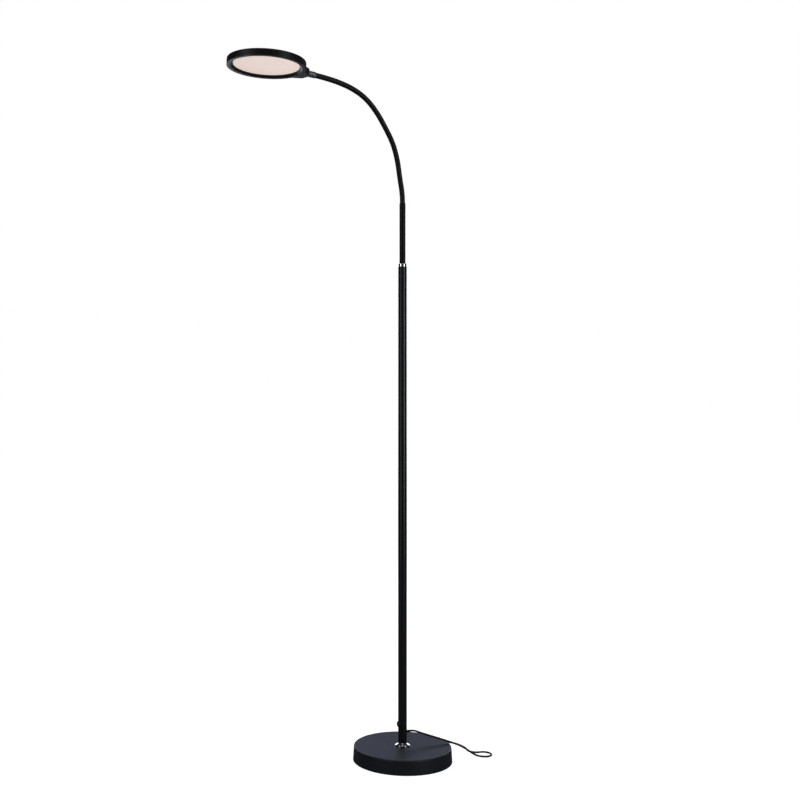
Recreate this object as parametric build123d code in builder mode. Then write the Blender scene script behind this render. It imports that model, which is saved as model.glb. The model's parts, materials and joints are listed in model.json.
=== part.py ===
from build123d import *
from math import atan2, cos, degrees, hypot, pi, radians, sin, sqrt, tan
import os

# Gooseneck reading floor lamp, in millimetres and degrees.
# The origin is on the floor under the pole, +Z is up, and the neck bends in the XZ plane towards -X.

os.makedirs("parts", exist_ok=True)

# ---------------------------------------------------------------- base
base_radius = 115.0             # at the floor edge; the side tapers in a little
base_taper = 2.0
base_height = 34.4
base_edge_round = 3.0
cover_wall = 1.6
cover_lift = 1.2                # the cover's rim stays this far off the floor
pad_inset = 7.0                 # from the base's edge to the pad, and to the weight
pad_radius = base_radius - pad_inset
pad_thickness = 3.0
plate_thickness = 1.5
plate_clearance = 0.4
weight_radius = base_radius - pad_inset
weight_thickness = 10.0
weight_edge = 3.0
boss_radius = 7.0               # cast feet under the weight that carry the plate
boss_circle = 84.0
boss_count = 3
screw_radius = 2.0
screw_length = 12.0
screw_head_radius = 4.0
screw_head_height = 2.4
screw_spare = 1.0               # past the head in the pad, and short of the end of its hole
bolt_radius = 5.0
bolt_head_flats = 17.0
bolt_head_height = 6.4
bolt_clearance = 0.5
washer_radius = 15.0
washer_thickness = 2.0
thread_clearance = 0.12         # radial, between screwed pieces

# ---------------------------------------------------------------- collar and pole
collar_radius = 17.8
collar_height = 6.0             # up to the seat of the pole
collar_lip = 0.8                # stands up round the pole's foot
collar_lip_width = 0.7
collar_side_height = 3.9
collar_groove = 0.8
collar_round = 1.1
pole_radius = 10.2
pole_wall = 1.4
lower_length = 404.0
middle_length = 410.0
upper_length = 293.0
insert_clearance = 0.1          # radial, for pieces pushed into the pole
coupler_length = 40.0
coupler_wall = 2.0
foot_plug_length = 16.0
joint_edge = 0.4                # broken edge at each end of a pole tube
ring_height = 7.0
ring_taper = 0.8
ring_round = 0.6
stem_radius = 7.05
stem_wall = 2.0
stem_length = 141.0             # above the chrome ring
stem_socket_depth = 12.0
stem_tail = 30.0                # below the ring, held in the bush
stem_chamfer = 1.0
slip = 0.15                     # radial, between a sleeve and what slides into it

# ---------------------------------------------------------------- switch in the pole
switch_height = 85.0
switch_flange_radius = 7.6
switch_flange_proud = 1.3
switch_barrel_radius = 5.5
switch_barrel_end = 1.5         # past the pole's axis
switch_well_depth = 6.6
switch_wall = 0.8
button_radius = 4.5
button_proud = 1.5
button_length = 5.0
button_travel = 1.2
button_clearance = 0.2
wire_radius = 0.7
wire_spread = 2.4

# ---------------------------------------------------------------- driver and leads inside
driver_bottom = 105.0
driver_length = 72.0
driver_width = 14.0
driver_depth = 10.0
driver_round = 1.5
lead_radius = 1.5
feed_offset = 4.6               # the cord climbs beside the axis, past the switch
feed_turn = 4.0

# ---------------------------------------------------------------- neck
neck_radius = 6.1
neck_bore = 2.2
link_length = 40.35
neck_bends = (11.8, -2.7, 10.5, 14.2, 3.4, 11.4, 17.6, 11.5, 6.0, 3.4)  # each link's curve, root to tip
socket_clearance = 0.3
socket_rim = 2.6
ball_mouth_angle = 21.0         # half angle of the flared mouth in each ball
lead_gap = 0.4
ferrule_radius = 7.0
ferrule_length = 21.0
ferrule_socket = 8.0
ferrule_round = 1.2
tail_radius = 4.0
tail_length = 9.0
nut_flats = 10.0
nut_thickness = 4.0

# ---------------------------------------------------------------- head
head_radius = 86.0
head_height = 15.4
head_edge_round = 2.5
head_roll = 1.6
head_wall = 2.2
head_top_wall = 1.6
neck_height_on_head = 8.5       # from the underside of the head to the neck's axis
bezel_thickness = 2.0
bezel_inner_radius = 78.5
bezel_cone_wall = 1.4
window_radius = 72.0
window_recess = 5.0
lug_reach = 104.0               # from the head's centre to the lug's end face
lug_root_half = 28.0
lug_root_at = 81.0
lug_end_half = 15.5
lug_end_at = 101.0
lug_corner = 5.0
lug_cavity_half = 11.0
spigot_wall = 1.4
fit_gap = 0.2                   # between pieces that drop into the head
diffuser_thickness = 2.0
diffuser_radius = 74.0
guide_thickness = 3.0
reflector_thickness = 0.4
strip_thickness = 0.4
led_count = 24
led_width = 2.8
led_depth = 0.8
led_solder = 0.1                # each emitter reaches this far into the strip
pan_wall = 1.0

# ---------------------------------------------------------------- cord and plug
cord_radius = 2.2
grommet_flange_radius = 4.8
grommet_flange_proud = 1.6
grommet_neck_radius = 3.6
grommet_root_radius = 3.3
grommet_tip_radius = 2.75
grommet_reach = 22.0            # from the pole's axis to the tip of the strain relief
grommet_height = 65.0
coil_outer_radius = 37.5
coil_pitch = 5.2
coil_layer = 4.9
coil_half_turns = 8             # in the lower layer, one fewer on top
coil_climb_inset = 0.8          # the turn that climbs keeps this far inside the others
coil_last_turn = 40.0           # past a whole number of half turns, on top
coil_center = (113.3, 109.6)
coil_start = -122.0             # angle about the coil's centre where the cord joins it
tail_run = 11.5                 # the cord between coil and plug: two runs of this length
plug_heading = 32.0             # which way the plug points on the floor, from -X
plug_width = 34.0
plug_thickness = 14.2
plug_length = 36.0
plug_relief = 18.0
plug_relief_radius = 3.4
plug_round = 3.0
pin_radius = 2.0
pin_length = 19.0
pin_spacing = 18.6

# ================================================================ shared places
pole_foot = base_height + collar_height
pole_bore = pole_radius - pole_wall
lower_top = pole_foot + lower_length
middle_top = lower_top + middle_length
pole_top = middle_top + upper_length
ring_top = pole_top + ring_height
neck_start = ring_top + stem_length
weight_top = base_height - cover_wall
weight_bottom = weight_top - weight_thickness
plate_top = pad_thickness + plate_thickness
weight_hole = bolt_radius + bolt_clearance
insert_radius = pole_bore - insert_clearance
wire_bore = stem_radius - stem_wall


def write(builder, label):
    """Name a finished piece and write it to its own file."""
    builder.part.label = label
    export_step(builder.part, f"parts/{label}.step")


def ring_between(inner, outer, low, high):
    """Sketch and extrude a plain ring about Z, between two heights, in the open part."""
    with BuildSketch(Plane.XY.offset(low)) as band:
        Circle(outer)
        Circle(inner, mode=Mode.SUBTRACT)
    extrude(band.sketch, amount=high - low)


def turned(points, place=Plane.XZ, axis=Axis.Z):
    """Revolve a closed profile, given as (radius, height) points, in the open part."""
    with BuildSketch(place) as profile:
        with BuildLine():
            Polyline(*points, close=True)
        make_face()
    revolve(profile.sketch, axis=axis)


# ================================================================ base
with BuildPart() as floor_pad:
    with BuildSketch():
        Circle(pad_radius)
        with PolarLocations(boss_circle, boss_count):
            Circle(screw_head_radius + screw_spare, mode=Mode.SUBTRACT)
    extrude(amount=pad_thickness)
write(floor_pad, "floor_pad")

side_drop = base_taper * cover_lift / base_height
cover_bottom_radius = base_radius - side_drop
cover_top_radius = base_radius - base_taper
with BuildPart() as base_cover:
    with BuildSketch(Plane.XZ):
        with BuildLine():
            Polyline(
                (weight_hole, base_height),
                (cover_top_radius, base_height),
                (cover_bottom_radius, cover_lift),
                (cover_bottom_radius - cover_wall, cover_lift),
                (cover_top_radius - cover_wall, weight_top),
                (weight_hole, weight_top),
                close=True,
            )
        make_face()
        corners = vertices().sort_by(Axis.Y).filter_by(lambda v: v.X > cover_top_radius - 2 * cover_wall)
        fillet([v for v in corners if v.Y > base_height - 0.1], base_edge_round)
        fillet([v for v in corners if abs(v.Y - weight_top) < 0.1], base_edge_round - cover_wall)
    revolve(axis=Axis.Z)
write(base_cover, "base_cover")

with BuildPart() as base_weight:
    with BuildSketch(Plane.XY.offset(weight_bottom)):
        Circle(weight_radius)
        Circle(weight_hole, mode=Mode.SUBTRACT)
    extrude(amount=weight_thickness)
    chamfer(edges().filter_by(GeomType.CIRCLE).sort_by(SortBy.RADIUS)[-2:], weight_edge)
    with BuildSketch(Plane.XY.offset(plate_top)):
        with PolarLocations(boss_circle, boss_count):
            Circle(boss_radius)
    extrude(amount=weight_bottom - plate_top)
    with Locations(Plane.XY.offset(plate_top)):
        with PolarLocations(boss_circle, boss_count):
            Cylinder(
                screw_radius + thread_clearance,
                screw_length,
                align=(Align.CENTER, Align.CENTER, Align.MIN),
                mode=Mode.SUBTRACT,
            )
write(base_weight, "base_weight")

with BuildPart() as base_plate:
    with BuildSketch(Plane.XY.offset(pad_thickness)):
        Circle(cover_bottom_radius - cover_wall - plate_clearance)
        with PolarLocations(boss_circle, boss_count):
            Circle(screw_radius + thread_clearance, mode=Mode.SUBTRACT)
    extrude(amount=plate_thickness)
write(base_plate, "base_plate")

with BuildPart() as base_screws:
    with BuildSketch(Plane.XY.offset(pad_thickness - screw_head_height)):
        with PolarLocations(boss_circle, boss_count):
            Circle(screw_head_radius)
    extrude(amount=screw_head_height)
    chamfer(edges().group_by(Axis.Z)[0], screw_head_height / 4)
    with BuildSketch(Plane.XY.offset(pad_thickness)):
        with PolarLocations(boss_circle, boss_count):
            Circle(screw_radius)
    extrude(amount=plate_thickness + screw_length - screw_spare)
write(base_screws, "base_screws")

with BuildPart() as pole_washer:
    ring_between(weight_hole, washer_radius, weight_bottom - washer_thickness, weight_bottom)
write(pole_washer, "pole_washer")

bolt_seat = weight_bottom - washer_thickness
with BuildPart() as pole_bolt:
    with BuildSketch(Plane.XY.offset(bolt_seat - bolt_head_height)):
        RegularPolygon(bolt_head_flats / 2, 6, major_radius=False)
    extrude(amount=bolt_head_height)
    chamfer(edges().group_by(Axis.Z)[0], 0.8)
    with BuildSketch(Plane.XY.offset(bolt_seat)):
        Circle(bolt_radius)
    extrude(amount=pole_foot + foot_plug_length - bolt_seat - screw_spare)
    chamfer(edges().group_by(Axis.Z)[-1], 0.8)
write(pole_bolt, "pole_bolt")

# ================================================================ collar and pole
collar_top = base_height + collar_side_height
lip_outer = pole_radius + slip + collar_lip_width
lip_top = pole_foot + collar_lip
groove_low = base_height + 0.35 * collar_side_height
with BuildPart() as base_collar:
    with BuildSketch(Plane.XZ):
        with BuildLine():
            side = Polyline(
                (weight_hole, pole_foot),
                (weight_hole, base_height),
                (collar_radius, base_height),
                (collar_radius, groove_low),
                (collar_radius - collar_groove, groove_low + collar_groove / 2),
                (collar_radius, groove_low + collar_groove),
                (collar_radius, collar_top - collar_round),
            )
            edge = TangentArc(side @ 1, (collar_radius - collar_round, collar_top), tangent=(0, 1))
            Polyline(
                edge @ 1,
                (lip_outer, lip_top - 0.3),
                (lip_outer - 0.3, lip_top),
                (pole_radius + slip, lip_top),
                (pole_radius + slip, pole_foot),
                (weight_hole, pole_foot),
            )
        make_face()
    revolve(axis=Axis.Z)
write(base_collar, "base_collar")

with BuildPart() as pole_foot_plug:
    ring_between(bolt_radius + thread_clearance, insert_radius, pole_foot, pole_foot + foot_plug_length)
    chamfer(edges().group_by(Axis.Z)[-1].sort_by(SortBy.RADIUS)[-1], 1.0)
write(pole_foot_plug, "pole_foot_plug")

with BuildPart() as pole_lower:
    ring_between(pole_bore, pole_radius, pole_foot, lower_top)
    chamfer(edges().filter_by(GeomType.CIRCLE).sort_by(SortBy.RADIUS)[-2:], joint_edge)
    with Locations(Location((0, 0, grommet_height), (0, 90, 0))):
        Cylinder(
            grommet_neck_radius + insert_clearance,
            pole_radius * 2,
            align=(Align.CENTER, Align.CENTER, Align.MIN),
            mode=Mode.SUBTRACT,
        )
    with Locations(Location((0, 0, switch_height), (0, -90, 0))):
        Cylinder(
            switch_barrel_radius + insert_clearance,
            pole_radius * 2,
            align=(Align.CENTER, Align.CENTER, Align.MIN),
            mode=Mode.SUBTRACT,
        )
write(pole_lower, "pole_lower")

for label, low, high in (("pole_middle", lower_top, middle_top), ("pole_upper", middle_top, pole_top)):
    with BuildPart() as pole_tube:
        ring_between(pole_bore, pole_radius, low, high)
        chamfer(edges().filter_by(GeomType.CIRCLE).sort_by(SortBy.RADIUS)[-2:], joint_edge)
    write(pole_tube, label)

for label, seam in (("coupler_lower", lower_top), ("coupler_upper", middle_top)):
    with BuildPart() as coupler:
        ring_between(
            insert_radius - coupler_wall, insert_radius, seam - coupler_length / 2, seam + coupler_length / 2
        )
        chamfer(edges().filter_by(GeomType.CIRCLE).sort_by(SortBy.RADIUS)[-2:], 0.8)
    write(coupler, label)

with BuildPart() as top_ring:
    with BuildSketch(Plane.XZ):
        with BuildLine():
            side = Polyline(
                (stem_radius + slip, ring_top),
                (stem_radius + slip, pole_top),
                (pole_radius, pole_top),
                (pole_radius, pole_top + ring_height * 0.35),
                (pole_radius - ring_taper, ring_top - ring_round),
            )
            shoulder = TangentArc(
                side @ 1, (pole_radius - ring_taper - ring_round, ring_top), tangent=side % 1
            )
            Line(shoulder @ 1, side @ 0)
        make_face()
    revolve(axis=Axis.Z)
write(top_ring, "top_ring")

with BuildPart() as stem_bush:
    ring_between(stem_radius + insert_clearance, insert_radius, pole_top - stem_tail, pole_top)
    chamfer(edges().group_by(Axis.Z)[0].sort_by(SortBy.RADIUS)[-1], 0.8)
write(stem_bush, "stem_bush")

with BuildPart() as stem:
    ring_between(wire_bore, stem_radius, pole_top - stem_tail, neck_start)
    chamfer(edges().group_by(Axis.Z)[-1].sort_by(SortBy.RADIUS)[-1], stem_chamfer / 2)
    with Locations((0, 0, neck_start)):
        Cylinder(
            neck_radius + slip,
            stem_socket_depth,
            align=(Align.CENTER, Align.CENTER, Align.MAX),
            mode=Mode.SUBTRACT,
        )
write(stem, "stem")

# ================================================================ switch
switch_face = pole_radius + switch_flange_proud
with BuildPart() as switch_body:
    with BuildSketch(Plane.YZ.offset(-switch_face)):
        with Locations((0, switch_height)):
            Circle(switch_flange_radius)
    extrude(amount=switch_face)
    chamfer(faces().sort_by(Axis.X)[0].edges(), switch_flange_proud / 2)
    with Locations((0, 0, switch_height)):
        Cylinder(pole_radius + insert_clearance, switch_flange_radius * 3, mode=Mode.SUBTRACT)
    with BuildSketch(Plane.YZ.offset(-switch_face + switch_flange_proud / 2)):
        with Locations((0, switch_height)):
            Circle(switch_barrel_radius)
    extrude(amount=switch_face - switch_flange_proud / 2 + switch_barrel_end)
    with BuildSketch(Plane.YZ.offset(-switch_face)):
        with Locations((0, switch_height)):
            Circle(button_radius + button_clearance)
    extrude(amount=switch_well_depth, mode=Mode.SUBTRACT)
write(switch_body, "switch_body")

button_front = switch_face + button_proud
with BuildPart() as switch_button:
    with BuildSketch(Plane.YZ.offset(-button_front)):
        with Locations((0, switch_height)):
            Circle(button_radius)
    extrude(amount=button_length)
    fillet(faces().sort_by(Axis.X)[0].edges(), button_proud * 0.7)
write(switch_button, "switch_button")

# ================================================================ driver and leads in the pole
driver_top = driver_bottom + driver_length
with BuildPart() as led_driver:
    with BuildSketch(Plane.XY.offset(driver_bottom)):
        RectangleRounded(driver_depth, driver_width, driver_round)
    extrude(amount=driver_length)
write(led_driver, "led_driver")

switch_top = switch_height + sqrt(switch_barrel_radius**2 - wire_spread**2)
with BuildPart() as switch_wires:
    with BuildSketch(Plane.XY.offset(switch_height + switch_barrel_radius)):
        with Locations((-switch_barrel_end, wire_spread / 2), (-switch_barrel_end, -wire_spread / 2)):
            Circle(wire_radius)
    extrude(amount=driver_bottom - switch_height - switch_barrel_radius)
write(switch_wires, "switch_wires")

with BuildPart() as feed_cord:
    with BuildLine():
        FilletPolyline(
            (grommet_reach, 0, grommet_height),
            (feed_offset, 0, grommet_height),
            (feed_offset, 0, driver_bottom),
            radius=feed_turn,
        )
    with BuildSketch(Plane.YZ.offset(grommet_reach)):
        with Locations((0, grommet_height)):
            Circle(cord_radius)
    sweep()
write(feed_cord, "feed_cord")

root_bottom = neck_start - stem_socket_depth
with BuildPart() as pole_lead:
    with BuildSketch(Plane.XY.offset(driver_top)):
        Circle(lead_radius)
    extrude(amount=root_bottom - driver_top)
write(pole_lead, "pole_lead")

# ================================================================ neck
# Each joint lies on a smooth curve of arcs, one arc a link, from straight up to almost level.
joints_at = [Vector(0, 0, neck_start)]
directions = [Vector(0, 0, 1)]
heading = 0.0
for bend in neck_bends:
    chord = link_length * sin(radians(bend / 2)) / radians(bend / 2)
    middle = radians(heading + bend / 2)
    joints_at.append(joints_at[-1] + Vector(-sin(middle), 0, cos(middle)) * chord)
    heading += bend
    directions.append(Vector(-sin(radians(heading)), 0, cos(radians(heading))))
link_count = len(neck_bends)
ball_reach = neck_radius + 0.5
mouth_radius = neck_bore + ball_reach * tan(radians(ball_mouth_angle))


def section_at(point, direction):
    """Plane square to a direction, for a tube's section."""
    return Plane(origin=point, x_dir=(0, 1, 0), z_dir=direction)


for number in range(1, link_count + 1):
    start, end = joints_at[number - 1], joints_at[number]
    set_off, arrive = directions[number - 1], directions[number]
    is_root, is_tip = number == 1, number == link_count
    arc = TangentArc(start, end, tangent=set_off)
    tube_from = arc.position_at(0 if is_root else socket_rim / link_length)
    tube_heading = arc.tangent_at(0 if is_root else socket_rim / link_length)
    with BuildPart() as link:
        with BuildLine():
            if is_root:
                Line(start - set_off * stem_socket_depth, start)
            TangentArc(tube_from, end, tangent=tube_heading)
            if is_tip:
                Line(end, end + arrive * ferrule_socket)
        with BuildSketch(section_at(start - set_off * stem_socket_depth if is_root else tube_from, tube_heading)):
            Circle(neck_radius)
        sweep()
        if not is_tip:
            with Locations(end):
                Sphere(neck_radius)
        if not is_root:
            with Locations(start):
                Sphere(neck_radius + socket_clearance, mode=Mode.SUBTRACT)
        with BuildLine():
            Line(start - set_off * stem_socket_depth, start)
            TangentArc(start, end, tangent=set_off)
            Line(end, end + arrive * stem_socket_depth)
        with BuildSketch(section_at(start - set_off * stem_socket_depth, set_off)):
            Circle(neck_bore)
        sweep(mode=Mode.SUBTRACT)
        if not is_tip:
            with Locations(section_at(end, arrive).location):
                Cone(
                    neck_bore,
                    mouth_radius,
                    ball_reach,
                    align=(Align.CENTER, Align.CENTER, Align.MIN),
                    mode=Mode.SUBTRACT,
                )
    write(link, f"neck_link_{number:02d}")
    lead_from = 0 if is_root else lead_gap / link_length
    lead_to = 1 if is_tip else 1 - lead_gap / link_length
    with BuildPart() as neck_lead:
        with BuildLine():
            if is_root:
                Line(start - set_off * stem_socket_depth, start)
            TangentArc(
                arc.position_at(lead_from), arc.position_at(lead_to), tangent=arc.tangent_at(lead_from)
            )
            if is_tip:
                Line(end, end + arrive * (ferrule_length + tail_length))
        lead_start = start - set_off * stem_socket_depth if is_root else arc.position_at(lead_from)
        with BuildSketch(section_at(lead_start, arc.tangent_at(lead_from))):
            Circle(lead_radius)
        sweep()
    write(neck_lead, f"neck_lead_{number:02d}")

# ================================================================ head, in its own frame
# The neck's end line carries on through the ferrule into the lug; the head lies square to it.
neck_end, neck_line = joints_at[-1], directions[-1]
head_rise = degrees(atan2(neck_line.Z, -neck_line.X))
lug_face = neck_end + neck_line * ferrule_length
head_up = Vector(sin(radians(head_rise)), 0, cos(radians(head_rise)))
rolled_up = head_up * cos(radians(head_roll)) - Vector(0, 1, 0) * sin(radians(head_roll))
head_plane = Plane(
    origin=lug_face + neck_line * lug_reach - rolled_up * neck_height_on_head,
    x_dir=-neck_line,
    z_dir=rolled_up,
)
neck_end_plane = section_at(neck_end, neck_line)


def head_level(height):
    """Plane parallel to the underside of the head, at a height above it."""
    return head_plane.offset(height)


head_side = Plane(origin=head_plane.origin, x_dir=head_plane.x_dir, z_dir=-head_plane.y_dir)
head_axis = Axis(head_plane.origin, head_plane.z_dir)


def lug_outline():
    """Add the tapered lug, with its rounded corners, to the open sketch."""
    with BuildLine() as outline:
        FilletPolyline(
            (0, 0),
            (lug_root_at, lug_root_half),
            (lug_end_at, lug_end_half),
            (lug_reach, 0),
            (lug_end_at, -lug_end_half),
            (lug_root_at, -lug_root_half),
            radius=lug_corner,
            close=True,
        )
    make_face(outline.edges())


def head_outline(inset):
    """Add the head's outline, with its lug, drawn in by a distance, to the open sketch."""
    Circle(head_radius)
    lug_outline()
    if inset:
        offset(amount=-inset, mode=Mode.REPLACE)


cavity_top = head_height - head_top_wall
with BuildPart() as head_housing:
    with BuildSketch(head_level(bezel_thickness)):
        head_outline(0)
    extrude(amount=head_height - bezel_thickness)
    fillet(faces().sort_by(head_axis)[-1].edges(), head_edge_round)
    with BuildSketch(head_level(bezel_thickness)):
        Circle(head_radius - head_wall)
    extrude(amount=cavity_top - bezel_thickness, mode=Mode.SUBTRACT)
    with BuildSketch(head_level(bezel_thickness)):
        with Locations((lug_reach - head_wall, 0)):
            Rectangle(lug_reach - lug_root_at, 2 * lug_cavity_half, align=(Align.MAX, Align.CENTER))
    extrude(amount=cavity_top - bezel_thickness, mode=Mode.SUBTRACT)
    with Locations(neck_end_plane.offset(ferrule_length).location):
        Cylinder(tail_radius + thread_clearance, lug_corner * 2, mode=Mode.SUBTRACT)
write(head_housing, "head_housing")

shelf_top = window_recess
with BuildPart() as head_bezel:
    with BuildSketch(head_plane):
        head_outline(0)
        Circle(bezel_inner_radius, mode=Mode.SUBTRACT)
    extrude(amount=bezel_thickness)
    turned(
        (
            (bezel_inner_radius, 0),
            (window_radius, window_recess),
            (diffuser_radius + fit_gap, window_recess),
            (bezel_inner_radius + bezel_cone_wall, bezel_thickness),
            (bezel_inner_radius + bezel_cone_wall, 0),
        ),
        place=head_side,
        axis=head_axis,
    )
    spigot_outer = head_radius - head_wall - fit_gap
    with BuildSketch(head_level(bezel_thickness)):
        Circle(spigot_outer)
        Circle(spigot_outer - spigot_wall, mode=Mode.SUBTRACT)
        with Locations((spigot_outer, 0)):
            Rectangle(4 * spigot_wall, 2 * lug_cavity_half, mode=Mode.SUBTRACT)
    extrude(amount=window_recess - bezel_thickness)
write(head_bezel, "head_bezel")

guide_bottom = window_recess + diffuser_thickness
guide_top = guide_bottom + guide_thickness
with BuildPart() as diffuser:
    with BuildSketch(head_level(window_recess)):
        Circle(diffuser_radius)
    extrude(amount=diffuser_thickness)
write(diffuser, "diffuser")

with BuildPart() as light_guide:
    with BuildSketch(head_level(guide_bottom)):
        Circle(diffuser_radius)
    extrude(amount=guide_thickness)
write(light_guide, "light_guide")

with BuildPart() as reflector:
    with BuildSketch(head_level(guide_top)):
        Circle(diffuser_radius)
    extrude(amount=reflector_thickness)
write(reflector, "reflector")

strip_inner = diffuser_radius + fit_gap + led_depth
with BuildPart() as led_strip:
    with BuildSketch(head_level(guide_bottom)):
        Circle(strip_inner + strip_thickness)
        Circle(strip_inner, mode=Mode.SUBTRACT)
        with PolarLocations(strip_inner - led_depth / 2 + led_solder / 2, led_count):
            Rectangle(led_depth + led_solder, led_width)
    extrude(amount=guide_thickness)
write(led_strip, "led_strip")

pan_bottom = guide_top + reflector_thickness
pan_inner = strip_inner + strip_thickness + fit_gap
with BuildPart() as heat_pan:
    turned(
        (
            (0, pan_bottom),
            (pan_inner, pan_bottom),
            (pan_inner, window_recess),
            (pan_inner + pan_wall, window_recess),
            (pan_inner + pan_wall, pan_bottom + pan_wall),
            (0, pan_bottom + pan_wall),
        ),
        place=head_side,
        axis=head_axis,
    )
write(heat_pan, "heat_pan")

with BuildPart() as neck_ferrule:
    with BuildSketch(neck_end_plane):
        Circle(ferrule_radius)
    extrude(amount=ferrule_length)
    fillet(edges().filter_by(GeomType.CIRCLE), ferrule_round)
    with BuildSketch(neck_end_plane.offset(ferrule_length)):
        Circle(tail_radius)
    extrude(amount=tail_length)
    with BuildSketch(neck_end_plane):
        Circle(neck_radius + slip)
    extrude(amount=ferrule_socket, mode=Mode.SUBTRACT)
    with BuildSketch(neck_end_plane):
        Circle(neck_bore)
    extrude(amount=ferrule_length + tail_length, mode=Mode.SUBTRACT)
write(neck_ferrule, "neck_ferrule")

with BuildPart() as neck_nut:
    with BuildSketch(neck_end_plane.offset(ferrule_length + head_wall)):
        RegularPolygon(nut_flats / 2, 6, major_radius=False)
        Circle(tail_radius + thread_clearance, mode=Mode.SUBTRACT)
    extrude(amount=nut_thickness)
write(neck_nut, "neck_nut")

# ================================================================ cord
grommet_face = pole_radius + grommet_flange_proud
with BuildPart() as cord_grommet:
    with BuildSketch(Plane.YZ.offset(pole_radius / 2)):
        with Locations((0, grommet_height)):
            Circle(grommet_flange_radius)
    extrude(amount=grommet_face - pole_radius / 2)
    with Locations((0, 0, grommet_height)):
        Cylinder(pole_radius + insert_clearance, grommet_flange_radius * 3, mode=Mode.SUBTRACT)
    fillet(faces().sort_by(Axis.X)[-1].edges(), 0.6)
    with BuildSketch(Plane.YZ.offset(pole_bore - slip)):
        with Locations((0, grommet_height)):
            Circle(grommet_neck_radius)
    extrude(amount=grommet_face - pole_bore)
    with Locations(Location((grommet_face - 1.0, 0, grommet_height), (0, 90, 0))):
        Cone(
            grommet_root_radius,
            grommet_tip_radius,
            grommet_reach - grommet_face + 1.0,
            align=(Align.CENTER, Align.CENTER, Align.MIN),
        )
    with Locations(Location((0, 0, grommet_height), (0, 90, 0))):
        Cylinder(
            cord_radius + insert_clearance,
            grommet_reach * 2,
            align=(Align.CENTER, Align.CENTER, Align.MIN),
            mode=Mode.SUBTRACT,
        )
write(cord_grommet, "cord_grommet")

# The cord drops over the back of the base to the floor, turns back on itself and runs behind the base.
cord_route = [
    (grommet_reach, 0, grommet_height),
    (32, 0, grommet_height),
    (48, -5.5, 60),
    (76, -23.5, 51.5),
    (99.5, -44.5, 42.2),
    (122, -57, 32),
    (143, -62, 18),
    (159, -66, 5.2),
    (171, -73, cord_radius),
    (180, -88.5, cord_radius),
    (198.5, -88.3, cord_radius),
    (207, -72, cord_radius),
    (196.5, -56.7, cord_radius),
    (182, -53.5, cord_radius),
    (173.5, -46, cord_radius),
    (172, -35, cord_radius),
    (181, -11.5, cord_radius),
    (185, 16, cord_radius),
    (181, 39, cord_radius),
    (162, 59, cord_radius),
    (133, 66, cord_radius),
]
cord_limpness = 0.45


def corner_radii(points):
    """Bend radius at each corner of a cord's route, as large as the two runs there allow."""
    radii = []
    for before, here, after in zip(points, points[1:], points[2:]):
        run_in, run_out = Vector(here) - Vector(before), Vector(after) - Vector(here)
        turn = run_in.get_angle(run_out)
        radii.append(cord_limpness * min(run_in.length, run_out.length) / tan(radians(turn / 2)))
    return radii


def cord_tube(points, label):
    """Sweep the cord's section along straight runs joined by tangent arcs, and check its volume."""
    radii = corner_radii(points)
    with BuildPart() as tube:
        with BuildLine() as route:
            FilletPolyline(*points, radius=radii)
        with BuildSketch(Plane(origin=points[0], z_dir=Vector(points[1]) - Vector(points[0]))):
            Circle(cord_radius)
        sweep()
    length = sum(edge.length for edge in route.edges())
    expected = length * pi * cord_radius**2
    print(f"{label}: length {length:.1f}, least radius {min(radii):.1f}, radii",
          [round(r, 1) for r in radii], f"volume ratio {tube.part.volume / expected:.4f}")
    write(tube, label)
    return length


coil_heading = Vector(sin(radians(coil_start)), -cos(radians(coil_start)), 0)
coil_middle = Vector(coil_center[0], coil_center[1], 0)


def coil_place(angle, radius, height):
    """Point on a turn of the coil."""
    return coil_middle + Vector(radius * cos(radians(angle)), radius * sin(radians(angle)), height)


coil_from = coil_place(coil_start, coil_outer_radius, cord_radius)
coil_joint = coil_from - coil_heading * (2 * cord_radius)
cord_route.append(tuple(coil_joint - coil_heading * 20))
cord_route.append(tuple(coil_joint))
free_length = cord_tube(cord_route, "power_cord")

# Half-turn stations of the coil: in along the floor, up one layer at the middle, and out again on top.
upper = cord_radius + coil_layer
inner_radius = coil_outer_radius - coil_pitch * coil_half_turns / 2
stations = []
angle = coil_start
for half in range(coil_half_turns):
    stations.append((angle, coil_outer_radius - coil_pitch * half / 2, cord_radius))
    angle -= 180
stations.append((angle, inner_radius - coil_climb_inset, cord_radius))
angle -= 180
stations.append((angle, inner_radius - coil_climb_inset, upper))
for half in range(1, coil_half_turns):
    angle -= 180
    stations.append((angle, inner_radius + coil_pitch * half / 2, upper))
last_radius = stations[-1][1] + coil_pitch * coil_last_turn / 360
stations.append((angle - coil_last_turn, last_radius, upper))


def biarc(first, leave, last, reach):
    """Two arcs that join two points smoothly, given the direction at each."""
    gap = last - first
    both = leave + reach
    a = 2 * (1 - leave.dot(reach))
    b = 2 * gap.dot(both)
    c = -gap.dot(gap)
    arm = -c / b if abs(a) < 1e-9 else (-b + sqrt(b * b - 4 * a * c)) / (2 * a)
    leave_knee, reach_knee = first + leave * arm, last - reach * arm
    middle_point = (leave_knee + reach_knee) * 0.5
    TangentArc(first, middle_point, tangent=leave)
    TangentArc(middle_point, last, tangent=reach_knee - leave_knee)


def station_heading(place):
    """Direction of the cord at a station of the coil, square to its radius."""
    return Vector(sin(radians(place)), -cos(radians(place)), 0)


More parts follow.
